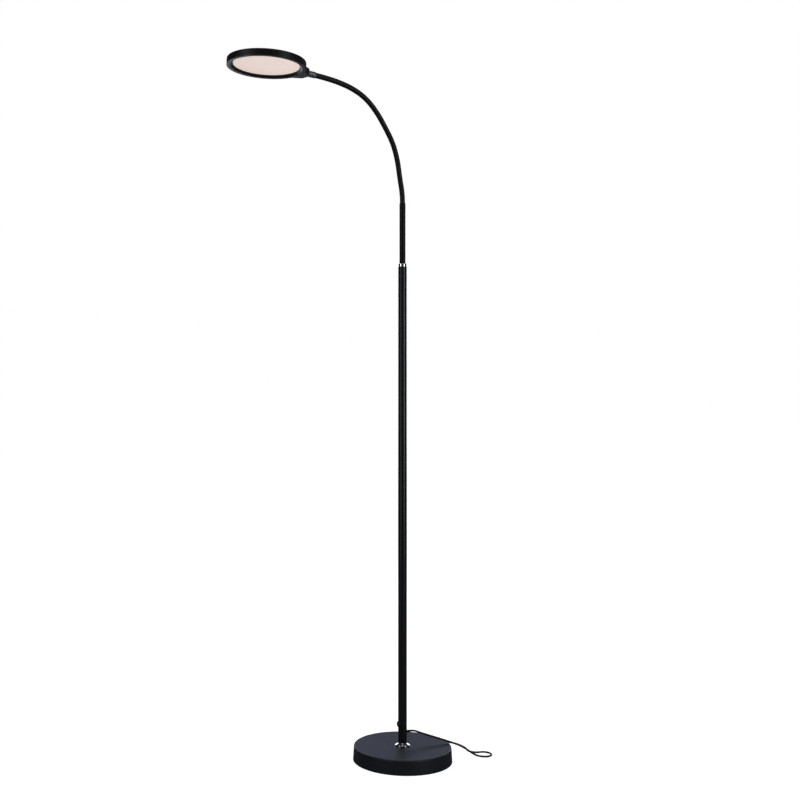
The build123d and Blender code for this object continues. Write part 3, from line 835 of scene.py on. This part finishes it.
@dataclass
class Pole(SubAssembly):
    """Three-piece pole with its stem, the switch, and the driver and leads inside."""

    paint: Finish = Finish(
        "pole_black_paint", "black_paint", Grain.ORANGE_PEEL, (0.0075, 0.0078, 0.0088), (0.0095, 0.0098, 0.0108),
        0.30, 0.06, 900.0, 0.000015, patches=12.0, marks=0.25,
    )
    stem_paint: Finish = Finish(
        "stem_black_paint", "black_paint", Grain.ORANGE_PEEL, (0.0070, 0.0070, 0.0076), (0.0088, 0.0088, 0.0094),
        0.44, 0.06, 900.0, 0.000015, specular=0.22, patches=12.0, marks=0.2,
    )
    switch: Finish = Finish(
        "switch_gloss_plastic", "switch_plastic", Grain.MOULDED, (0.010, 0.010, 0.011), (0.014, 0.014, 0.015),
        0.26, 0.06, 1500.0, 0.000008, patches=80.0, marks=0.5,
    )
    driver: Finish = Finish(
        "driver_white_case", "driver_case", Grain.MOULDED, (0.72, 0.72, 0.69), (0.66, 0.66, 0.62),
        0.48, 0.08, 1100.0, 0.00002, patches=40.0,
    )
    lead: Finish = Finish(
        "lead_red_insulation", "lead_copper", Grain.SHEATH, (0.45, 0.035, 0.03), (0.36, 0.028, 0.025),
        0.40, 0.08, 900.0, 0.00001, patches=70.0,
    )
    bush: Finish = Finish(
        "bush_black_plastic", "head_plastic", Grain.MOULDED, (0.014, 0.014, 0.015), (0.020, 0.020, 0.021),
        0.50, 0.08, 1200.0, 0.00002, patches=60.0,
    )

    def build(self) -> None:
        """Dress the pole, the stem, the switch and what is inside."""
        self.dress(self.paint, "pole_lower", "pole_middle", "pole_upper")
        self.dress(self.stem_paint, "stem")
        self.dress(self.switch, "switch_body", "switch_button")
        self.dress(self.driver, "led_driver")
        self.dress(self.bush, "stem_bush")
        leads = [name for name in self.frame["nodes"] if name.startswith("neck_lead_")]
        self.dress(self.lead, "pole_lead", "switch_wires", *leads)


@dataclass
class Gooseneck(SubAssembly):
    """Wound flexible neck: a ribbed tube in lengths that run from the middle of one link to the middle of the next.

    Attributes:
        root_height: Height where the neck leaves the stem.
        link_length: Length of a link along the neck.
        bends: Bend of each link at rest, in degrees, root to tip.
        radius: Outer radius of the tube.
        bore: Radius of the hole for the lead.
        rib_pitch: Distance between ribs.
        rib_depth: How far a rib stands proud.
        rib_power: Roundness of a rib's crest.
        rings_per_rib: Sections in one pitch.
        bore_step: Distance between the hole's sections.
        sides: Points in a section.
        root_overlap: Length of the neck inside the stem.
        tip_overlap: Length of the neck inside the ferrule.
        bend_reach: Distance either side of a pivot at which the build finds a point on the neck.
    """

    root_height: float = 1295.4 * MM
    link_length: float = 40.35 * MM
    bends: tuple[float, ...] = (11.8, -2.7, 10.5, 14.2, 3.4, 11.4, 17.6, 11.5, 6.0, 3.4)
    radius: float = 5.98 * MM
    bore: float = 2.3 * MM
    rib_pitch: float = 2.0175 * MM
    rib_depth: float = 0.16 * MM
    rib_power: float = 0.6
    rings_per_rib: int = 5
    bore_step: float = 4.0 * MM
    sides: int = 28
    root_overlap: float = 4.0 * MM
    tip_overlap: float = 6.0 * MM
    bend_reach: float = 19.0 * MM
    skin: WoundFinish = WoundFinish(
        "neck_black_coating", "neck_paint", Grain.ORANGE_PEEL, (0.0075, 0.0075, 0.008), (0.011, 0.011, 0.0115),
        0.38, 0.08, 1600.0, 0.00001, specular=0.28, patches=45.0, marks=0.3,
    )

    def place(self, distance: float) -> tuple[Vector, Vector]:
        """Point and direction of the neck's centreline.

        Args:
            distance: Distance from the root along the neck, which may lie before it or past its tip.

        Returns:
            The point and the direction.
        """
        point, heading = Vector((0.0, 0.0, self.root_height)), 0.0
        if distance <= 0.0:
            return point + UP * distance, UP.copy()
        left = distance
        for bend in self.bends:
            step = min(left, self.link_length)
            turn = math.radians(bend) * step / self.link_length
            chord = step * (math.sin(turn / 2.0) / (turn / 2.0) if turn else 1.0)
            middle = heading + turn / 2.0
            point = point + Vector((-math.sin(middle), 0.0, math.cos(middle))) * chord
            heading += turn
            left -= step
            if left <= 0.0:
                break
        direction = Vector((-math.sin(heading), 0.0, math.cos(heading)))
        return point + direction * max(0.0, left), direction

    def section(self, distance: float) -> Matrix:
        """Frame of the neck's section at a distance from its root."""
        point, direction = self.place(distance)
        return frame_along(point, direction, Vector((0.0, 1.0, 0.0)))

    def winding(self, distance: float) -> Outline:
        """Outer section, pushed out and in by the ribs, which run round as a screw.

        Args:
            distance: Distance along the neck.

        Returns:
            The section as a function of the angle.
        """

        def at(angle: float) -> tuple[float, float]:
            """Point of the section at an angle about the centreline."""
            wave = 0.5 + 0.5 * math.cos(2.0 * math.pi * distance / self.rib_pitch - angle)
            return polar(self.radius + self.rib_depth * (wave ** self.rib_power - 0.5), angle)

        return at

    def length(self, name: str, start: float, end: float) -> bpy.types.Object:
        """Make one closed length of the tube.

        Args:
            name: The piece's name.
            start: Where it begins along the neck.
            end: Where it ends.

        Returns:
            The piece.
        """
        shaper = Shaper()
        count = max(2, round((end - start) / self.rib_pitch * self.rings_per_rib))
        outside = [start + (end - start) * k / count for k in range(count + 1)]
        first, last = shaper.loft([(self.section(s), self.winding(s)) for s in outside], self.sides)
        inner_count = max(2, round((end - start) / self.bore_step))
        inside = [start + (end - start) * k / inner_count for k in range(inner_count + 1)]
        hole = rounded_box(self.bore, self.bore, 2.0)
        inner_first, inner_last = shaper.loft([(self.section(s), hole) for s in inside], self.sides)
        bmesh.ops.bridge_loops(shaper.mesh, edges=first + inner_first)
        bmesh.ops.bridge_loops(shaper.mesh, edges=last + inner_last)
        return shaper.finish(name, 50.0)

    def build(self) -> None:
        """Make every length; the root and the tip ride on their bodies, and the lengths between them stay where they
        are made.
        """
        material = self.skin.build()
        count = len(self.bends)
        half = self.link_length / 2.0
        root = self.length("neck_root", -self.root_overlap, half)
        self.add(root, material, self.skin.slot, "base", "neck_link_01")
        bodies = ["base", *[f"neck_{number}" for number in range(2, count)], "head"]
        for number in range(1, count):
            middle = number * self.link_length
            piece = self.length(f"neck_length_{number:02d}", middle - half, middle + half)
            self.add(piece, material, self.skin.slot, None, f"neck_link_{number + 1:02d}")
            before = (bodies[number - 1], self.place(middle - self.bend_reach)[0])
            after = (bodies[number], self.place(middle + self.bend_reach)[0])
            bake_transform(piece)
        tip = self.length("neck_tip", (count - 0.5) * self.link_length, count * self.link_length + self.tip_overlap)
        self.add(tip, material, self.skin.slot, "head")


@dataclass
class Head(SubAssembly):
    """Flat round head with its ferrule, window and light engine."""

    def build(self) -> None:
        """Dress the head's parts."""
        finishes: dict[str, Finish] = {
            "head_housing": Finish(
                "head_fine_plastic", "head_plastic", Grain.MOULDED, (0.0075, 0.0075, 0.0085),
                (0.0095, 0.0095, 0.0105), 0.44, 0.06, 1500.0, 0.00002, specular=0.31, patches=20.0, marks=0.2,
            ),
            "head_bezel": BezelFinish(
                "bezel_fine_plastic", "head_plastic", Grain.MOULDED, (0.0135, 0.0135, 0.0145),
                (0.0165, 0.0165, 0.0175), 0.42, 0.06, 1500.0, 0.00002, specular=0.26, patches=20.0,
            ),
            "diffuser": WindowFinish(
                "frosted_window", "diffuser_plastic", Grain.MOULDED, (0.80, 0.70, 0.65), (0.83, 0.74, 0.70),
                0.52, 0.06, 900.0, 0.00001, patches=30.0,
            ),
            "light_guide": Finish(
                "clear_light_guide", "guide_acrylic", Grain.POLISH, (0.86, 0.89, 0.89), (0.80, 0.84, 0.84),
                0.10, 0.04, 200.0, 0.000004, patches=40.0,
            ),
            "reflector": Finish(
                "white_reflector_film", "reflector_film", Grain.MOULDED, (0.88, 0.88, 0.87), (0.83, 0.83, 0.82),
                0.34, 0.06, 1300.0, 0.00001, patches=35.0,
            ),
            "led_strip": StripFinish(
                "light_strip_board", "led_board", Grain.MOULDED, (0.80, 0.80, 0.77), (0.74, 0.74, 0.71),
                0.42, 0.08, 1200.0, 0.00002, patches=60.0,
            ),
            "heat_pan": Finish(
                "pressed_aluminium", "pan_aluminium", Grain.ROLLED, (0.66, 0.67, 0.68), (0.56, 0.57, 0.58),
                0.36, 0.10, 700.0, 0.00002, metallic=1.0, patches=26.0, marks=0.4,
            ),
            "neck_ferrule": Finish(
                "ferrule_dark_plating", "ferrule_steel", Grain.TURNED, (0.260, 0.265, 0.280),
                (0.320, 0.325, 0.340), 0.26, 0.06, 9000.0, 0.00001, metallic=0.8, patches=90.0, marks=0.3,
            ),
        }
        for node, finish in finishes.items():
            self.dress(finish, node)


@dataclass
class Cord(SubAssembly):
    """Mains cord on one spline, its strain relief, its tie and its plug.

    Attributes:
        radius: Radius of the cord.
        route: Points of the free cord, in millimetres.
        coil_middle: Centre of the coil on the floor, in millimetres.
        coil_start: Angle where the cord joins the coil, in degrees.
        coil_radius: Outer radius of the coil, in millimetres.
        half_pitch: How far the coil draws in with each half turn, in millimetres.
        half_turns: Half turns in the lower layer.
        inset: How far the climbing turn lies inside the others, in millimetres.
        layer: Rise from the lower layer to the upper one, in millimetres.
        last_turn: Degrees past the last half turn.
        per_turn: Spline points in a turn.
        tail_run: Length of each straight of the tail, in millimetres.
        straight_end: Straight where the cord leaves the coil, in millimetres.
        plug_heading: Direction of the plug, in degrees from -X.
        plug_length: Length of the plug's body, in millimetres.
        plug_sides: Points in a section of the plug.
        tie_bearing: Direction of the tie from the coil's middle, in degrees.
        tie_span: Radii between which the tie lies, in millimetres.
        tie_top: Height of the tie, in millimetres.
        tie_width: Width of its band, in millimetres.
        tie_wall: Thickness of its band, in millimetres.
        tie_edge: Width of the band's edge, in millimetres.
    """

    radius: float = 2.2 * MM
    route: tuple[Point, ...] = (
        (22.0, 0.0, 65.0), (32.0, 0.0, 65.0), (49.0, -5.5, 57.6), (76.0, -23.5, 48.0), (99.5, -44.5, 39.9),
        (122.0, -57.0, 30.6), (143.0, -62.0, 18.0), (159.0, -66.0, 5.2), (166.3, -79.1, 2.2),
        (180.8, -91.5, 2.2), (197.5, -87.7, 2.2), (205.0, -71.7, 2.2), (197.5, -56.8, 2.2),
        (179.7, -53.2, 2.2), (171.4, -42.2, 2.2), (171.7, -29.7, 2.2), (181.0, -11.5, 2.2),
        (185.0, 16.0, 2.2), (181.0, 39.0, 2.2), (162.0, 59.0, 2.2), (133.0, 66.0, 2.2), (114.12, 64.87, 2.2),
    )
    coil_middle: tuple[float, float] = (113.3, 109.6)
    coil_start: float = -122.0
    coil_radius: float = 37.5
    half_pitch: float = 2.6
    half_turns: int = 8
    inset: float = 0.8
    layer: float = 4.9
    last_turn: float = 40.0
    per_turn: int = 16
    tail_run: float = 11.5
    straight_end: float = 4.4
    plug_heading: float = 32.0
    plug_length: float = 54.0
    plug_sides: int = 48
    tie_bearing: float = 20.0
    tie_span: tuple[float, float] = (13.2, 40.3)
    tie_top: float = 9.75
    tie_width: float = 10.0
    tie_wall: float = 0.45
    tie_edge: float = 0.3
    sheath: Finish = Finish(
        "cord_black_sheath", "cord_sheath", Grain.SHEATH, (0.008, 0.008, 0.0085), (0.012, 0.012, 0.0125),
        0.42, 0.10, 600.0, 0.00002, patches=50.0, marks=0.3,
    )
    moulding: Finish = Finish(
        "plug_black_moulding", "cord_sheath", Grain.MOULDED, (0.010, 0.010, 0.0105), (0.014, 0.014, 0.0145),
        0.46, 0.08, 1200.0, 0.00003, patches=50.0, marks=0.3,
    )

    def stations(self) -> list[tuple[float, float, float]]:
        """Turned angle, radius and height at each half turn of the coil, in degrees and millimetres."""
        low = self.radius / MM
        high = low + self.layer
        inner = self.coil_radius - self.half_pitch * self.half_turns
        lower = [(180.0 * k, self.coil_radius - self.half_pitch * k, low) for k in range(self.half_turns)]
        climb = 180.0 * self.half_turns
        lower += [(climb, inner - self.inset, low), (climb + 180.0, inner - self.inset, high)]
        upper = [(climb + 180.0 * (k + 1), inner + self.half_pitch * k, high) for k in range(1, self.half_turns)]
        angle, radius, height = upper[-1]
        end = (angle + self.last_turn, radius + 2.0 * self.half_pitch * self.last_turn / 360.0, height)
        return [*lower, *upper, end]

    def on_coil(self, turned: float, radius: float, height: float) -> Vector:
        """Point of the coil."""
        x, y = polar(radius, math.radians(self.coil_start - turned))
        return Vector((self.coil_middle[0] + x, self.coil_middle[1] + y, height))

    def coil_points(self) -> list[Vector]:
        """Spline points of the coil, a little outside its line because the spline runs inside them.

        Returns:
            The points, in millimetres.
        """
        stations = self.stations()
        swell = 1.0 / math.cos(math.pi / self.per_turn)
        steps = round(stations[-1][0] * self.per_turn / 360.0)
        points = []
        for number in range(steps + 1):
            turned = stations[-1][0] * number / steps
            here, there = next(
                (a, b) for a, b in zip(stations, stations[1:]) if a[0] <= turned <= b[0] + 1e-9
            )
            share = (turned - here[0]) / (there[0] - here[0])
            eased = share * share * (3.0 - 2.0 * share)
            radius = (here[1] + (there[1] - here[1]) * share) * swell
            height = here[2] + (there[2] - here[2]) * eased
            points.append(self.on_coil(turned, radius, height))
        return points

    def coil_leave(self) -> tuple[Vector, Vector]:
        """Where the coil ends and which way the cord leaves it, in millimetres."""
        turned, radius, height = self.stations()[-1]
        angle = math.radians(self.coil_start - turned)
        return self.on_coil(turned, radius, height), Vector((math.sin(angle), -math.cos(angle), 0.0))

    def plug_frame(self) -> tuple[Vector, Vector]:
        """Where the cord enters the plug and which way the plug points, in millimetres."""
        point, leave = self.coil_leave()
        heading = math.radians(self.plug_heading)
        line = Vector((-math.cos(heading), math.sin(heading), 0.0))
        return point + leave * (self.straight_end + self.tail_run) + line * self.tail_run, line

    def spline(self) -> bpy.types.Object:
        """Make the cord as one curve.

        Returns:
            The curve object.
        """
        plug, line = self.plug_frame()
        points = [Vector(p) for p in self.route]
        points += self.coil_points()[1:]
        points += [plug - line * self.tail_run, plug]
        curve = bpy.data.curves.new("power_cord_line", "CURVE")
        curve.dimensions = "3D"
        curve.resolution_u = 6
        curve.render_resolution_u = 6
        curve.bevel_depth = self.radius
        curve.bevel_resolution = 4
        curve.use_fill_caps = True
        spline = curve.splines.new("NURBS")
        spline.points.add(len(points) - 1)
        for slot, point in zip(spline.points, points):
            slot.co = (*(point * MM), 1.0)
        spline.order_u = 3
        spline.use_endpoint_u = True
        piece = bpy.data.objects.new("power_cord_flex", curve)
        bpy.context.scene.collection.objects.link(piece)
        return piece

    def relief(self) -> None:
        """Make the strain relief where the cord leaves the pole: a flange and a ribbed taper."""
        axis = frame_along(Vector((0.0, 0.0, self.route[0][2] * MM)), EAST, UP)
        profile = [(2.3, 8.2), (2.3, 22.0), (2.62, 22.0), (2.75, 21.6)]
        at = 21.0
        while at > 13.4:
            width = 2.75 + (22.0 - at) * 0.058
            profile += [(width, at), (width - 0.35, at - 0.25), (width - 0.33, at - 0.85), (width + 0.06, at - 1.1)]
            at -= 1.9
        profile += [(3.35, 12.2), (4.3, 11.8), (4.72, 11.45), (4.8, 11.0), (4.8, 9.6), (3.6, 9.2), (3.6, 8.2)]
        shaper = Shaper()
        shaper.turn([(r * MM, z * MM) for r, z in profile], axis, 40)
        piece = shaper.finish("cord_strain_relief", 40.0)
        self.add(piece, self.moulding.build(), self.moulding.slot, "base", "cord_grommet")

    def plug(self) -> bpy.types.Object:
        """Make the plug's moulded body, with a ribbed relief and finger grooves.

        Returns:
            The plug's body.
        """
        tip, line = self.plug_frame()
        side = UP.cross(line)

        def at(distance: float) -> Matrix:
            """Section of the plug at a distance from the cord's end."""
            return frame_along((tip + line * distance) * MM, line, side)

        sections = [(0.0, 2.9, 2.9, 2.0), (0.25, 3.4, 3.4, 2.0)]
        for number in range(5):
            start = 1.4 + 3.0 * number
            grow = number / 4.0
            wide, high, power = 3.5 + 4.2 * grow ** 1.6, 3.5 + 1.3 * grow, 2.0 + 1.2 * grow
            sections += [
                (start, wide, high, power),
                (start + 0.35, wide - 0.75, high - 0.75, power),
                (start + 1.25, wide - 0.7, high - 0.7, power),
                (start + 1.6, wide + 0.15, high + 0.05, power),
            ]
        sections += [
            (18.0, 8.6, 5.3, 3.4), (22.0, 11.6, 6.3, 4.0), (27.0, 14.6, 6.9, 4.6), (31.0, 16.3, 7.05, 5.0),
        ]
        for number in range(4):
            start = 34.0 + 3.4 * number
            sections += [
                (start, 16.9, 7.1, 5.2),
                (start + 0.4, 16.3, 6.6, 5.2),
                (start + 1.3, 16.3, 6.6, 5.2),
                (start + 1.7, 16.9, 7.1, 5.2),
            ]
        sections += [
            (50.0, 17.0, 7.1, 5.2), (53.2, 16.9, 7.05, 5.2), (53.8, 16.5, 6.7, 5.0), (self.plug_length, 15.6, 5.9, 4.8),
        ]
        shaper = Shaper()
        first, last = shaper.loft(
            [(at(s), rounded_box(w * MM, h * MM, power)) for s, w, h, power in sections], self.plug_sides
        )
        shaper.cap(first)
        shaper.cap(last)
        piece = shaper.finish("plug_moulded_body", 32.0)
        return self.add(piece, self.moulding.build(), self.moulding.slot, "base", "plug_body")

    def tie(self) -> None:
        """Make the hook-and-loop tie round the coil's windings."""
        out = Vector((*polar(1.0, math.radians(self.tie_bearing)), 0.0))
        along = Vector((-out.y, out.x, 0.0))
        inner, outer = self.tie_span
        middle = Vector((*self.coil_middle, 0.0)) + out * (inner + outer) / 2.0
        half_span, half_rise, half_wide = (outer - inner) / 2.0, self.tie_top / 2.0, self.tie_width / 2.0
        centre = middle + UP * half_rise

        def at(offset: float) -> Matrix:
            """Section of the band at a distance from its middle."""
            return frame_along((centre + along * offset) * MM, along, out)

        def band(shrink: float) -> Outline:
            """Outline of the band, drawn in by a distance."""
            return rounded_box((half_span - shrink) * MM, (half_rise - shrink) * MM, 5.0)

        steps = (-half_wide, self.tie_edge - half_wide, 0.0, half_wide - self.tie_edge, half_wide)
        shaper = Shaper()
        outer_rings = shaper.loft([(at(s), band(0.0)) for s in steps], 56)
        inner_rings = shaper.loft([(at(s), band(self.tie_wall)) for s in steps], 56)
        for outer_ring, inner_ring in zip(outer_rings, inner_rings):
            bmesh.ops.bridge_loops(shaper.mesh, edges=outer_ring + inner_ring)
        piece = shaper.finish("coil_tie", 40.0)
        band_finish = Finish(
            "tie_woven_band", "cord_sheath", Grain.FOAM, (0.018, 0.018, 0.019), (0.028, 0.028, 0.029),
            0.85, 0.08, 2200.0, 0.00012, specular=0.2, patches=60.0,
        )
        self.add(piece, band_finish.build(), band_finish.slot, "base")

    def build(self) -> None:
        """Make the cord, its relief, its tie and its plug, and dress the short feed inside the pole."""
        cord = self.spline()
        self.add(cord, self.sheath.build(), self.sheath.slot, "base", "power_cord", "cord_coil", "cord_tail")
        self.relief()
        plug = self.plug()
        self.tie()
        self.dress(self.sheath, "feed_cord")
        tip, line = self.plug_frame()
        root = tuple((tip + line * self.plug_length) * MM)
        pins = PinFinish(
            "plug_pins_plated", "pin_brass", Grain.POLISH, (0.72, 0.66, 0.50), (0.64, 0.58, 0.44),
            0.22, 0.08, 400.0, 0.000005, patches=120.0, marks=0.4, root=root, axis=tuple(line),
        )
        self.dress(pins, "plug_pins")


# ---- Studio ----
@dataclass(frozen=True)
class Softbox:
    """A rectangular soft light, placed round the pole.

    Attributes:
        name: The light's name.
        bearing: Degrees to the right of the camera, seen from the pole; negative is to the left.
        distance: Distance from the pole.
        height: Height of its middle.
        width: Its width.
        tall: Its height as a panel.
        power: Its power in watts.
        colour: Its colour.
        aim: Height on the pole that it faces.
    """

    name: str
    bearing: float
    distance: float
    height: float
    width: float
    tall: float
    power: float
    colour: Colour = WHITE
    aim: float = 0.8


@dataclass
class Studio:
    """Pale floor, soft light and the camera.

    Attributes:
        eye: Place of the camera.
        look: Level direction in which it looks.
        lens: Focal length in millimetres, for a sensor 36 mm wide.
        shift: Sideways shift of the picture.
        floor_radius: Radius of the floor.
        floor_seen: Colour of the floor to the camera.
        floor_mirrored: Its colour to everything else.
        fill: Brightness of the surroundings to everything but the camera.
    """

    eye: Point = (-1.6001, -2.0896, 0.838)
    look: Point = (0.5299, 0.8480, 0.0)
    lens: float = 50.67
    shift: float = 0.131
    floor_radius: float = 14.0
    floor_seen: Colour = (0.60, 0.60, 0.60)
    floor_mirrored: Colour = (0.20, 0.21, 0.24)
    fill: float = 0.035
    lights: tuple[Softbox, ...] = (
        Softbox("left_softbox", -46.0, 2.4, 0.92, 0.70, 1.45, 5.0, (0.92, 0.95, 1.0), 0.85),
        Softbox("right_softbox", 48.0, 2.4, 0.98, 0.55, 1.20, 10.0, (0.90, 0.96, 1.0), 0.9),
        Softbox("left_kicker", -54.0, 2.4, 2.35, 0.5, 0.4, 4.0, aim=1.15),
        Softbox("right_kicker", 54.0, 2.4, 2.35, 0.5, 0.4, 4.0, aim=1.15),
        Softbox("back_wall", 180.0, 2.8, 1.4, 2.4, 0.9, 7.8, (0.60, 0.69, 1.0), 0.05),
        Softbox("back_left_panel", -155.0, 2.4, 1.1, 0.5, 1.0, 4.0, aim=0.04),
        Softbox("back_right_panel", 155.0, 2.4, 1.1, 0.5, 1.0, 4.0, aim=0.04),
        Softbox("back_left_strip", -140.0, 2.6, 1.15, 0.35, 1.4, 5.0, (0.94, 0.97, 1.0), 0.9),
        Softbox("back_right_strip", 140.0, 2.6, 1.15, 0.35, 1.4, 5.0, (0.94, 0.97, 1.0), 0.9),
        Softbox("top_softbox", 0.0, 0.4, 3.0, 1.2, 1.2, 10.0, aim=0.0),
    )

    def camera(self) -> None:
        """Set up the camera of the photographed view."""
        data = bpy.data.cameras.new("view_camera")
        data.sensor_fit = "HORIZONTAL"
        data.sensor_width = 36.0
        data.lens = self.lens
        data.shift_x = self.shift
        data.clip_end = 100.0
        eye = bpy.data.objects.new("view_camera", data)
        back = -Vector(self.look)
        eye.matrix_world = frame_along(Vector(self.eye), back, UP.cross(back))
        bpy.context.scene.collection.objects.link(eye)
        bpy.context.scene.camera = eye

    def softbox(self, box: Softbox) -> None:
        """Hang one light.

        Args:
            box: Its place, size and power.
        """
        data = bpy.data.lights.new(box.name, "AREA")
        data.shape = "RECTANGLE"
        data.size, data.size_y = box.width, box.tall
        data.energy = box.power
        data.color = box.colour
        toward = Vector((self.eye[0], self.eye[1], 0.0)).normalized()
        bearing = Matrix.Rotation(math.radians(box.bearing), 3, "Z") @ toward
        place = bearing * box.distance + UP * box.height
        back = place - UP * box.aim
        light = bpy.data.objects.new(box.name, data)
        light.matrix_world = frame_along(place, back, UP.cross(back))
        light.visible_camera = False
        bpy.context.scene.collection.objects.link(light)

    def floor(self) -> None:
        """Lay the pale floor, which is bright to the eye and dimmer in reflections, with a painted shade: its lift to
        the eye is a little weaker near the pole.
        """
        shaper = Shaper()
        bmesh.ops.create_circle(shaper.mesh, cap_ends=True, radius=self.floor_radius, segments=96)
        piece = shaper.finish("studio_floor")
        graph = Graph(bpy.data.materials.new("pale_floor"))
        seen = graph.node("ShaderNodeLightPath", output="Is Camera Ray")
        pale = graph.mix(seen, self.floor_mirrored, self.floor_seen)
        shader = graph.node("ShaderNodeBsdfDiffuse", None, {"Color": pale})
        # Painted shade: the lift seen by the camera drops to 0.92 near the pole, darkening the floor round the lamp's
        # foot.
        away = graph.from_axis(ORIGIN, UPWARD).between(0.15, 0.9)
        strength = seen * (away * 0.08 + 0.92)
        lift = graph.node("ShaderNodeEmission", None, {"Color": WHITE, "Strength": strength})
        graph.close(graph.node("ShaderNodeAddShader", None, {0: shader, 1: lift}))
        piece.data.materials.append(graph.owner)

    def world(self) -> None:
        """Surround the lamp with white to the eye and a soft grey in reflections."""
        world = bpy.data.worlds.new("studio_world")
        graph = Graph(world)
        seen = graph.node("ShaderNodeLightPath", output="Is Camera Ray")
        level = graph.node("ShaderNodeMapRange", None, {"Value": seen, "To Min": self.fill, "To Max": 1.0})
        background = graph.node("ShaderNodeBackground", None, {"Color": WHITE, "Strength": level})
        graph.close(background, "ShaderNodeOutputWorld")
        bpy.context.scene.world = world

    def build(self) -> None:
        """Set up the whole studio."""
        self.camera()
        self.world()
        self.floor()
        for box in self.lights:
            self.softbox(box)
        scene = bpy.context.scene
        scene.view_settings.view_transform = "Standard"
        scene.view_settings.look = "None"
        log.info("studio: %d soft lights", len(self.lights))


def main() -> None:
    """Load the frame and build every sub-assembly in order."""
    logging.basicConfig(level=logging.INFO, format="%(name)s: %(message)s")
    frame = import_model()
    Studio().build()
    for assembly in (Cord(frame), Base(frame), Pole(frame), Gooseneck(frame), Head(frame)):
        log.info("building %s", type(assembly).__name__)
        assembly.build()


if __name__ == "__main__":
    main()
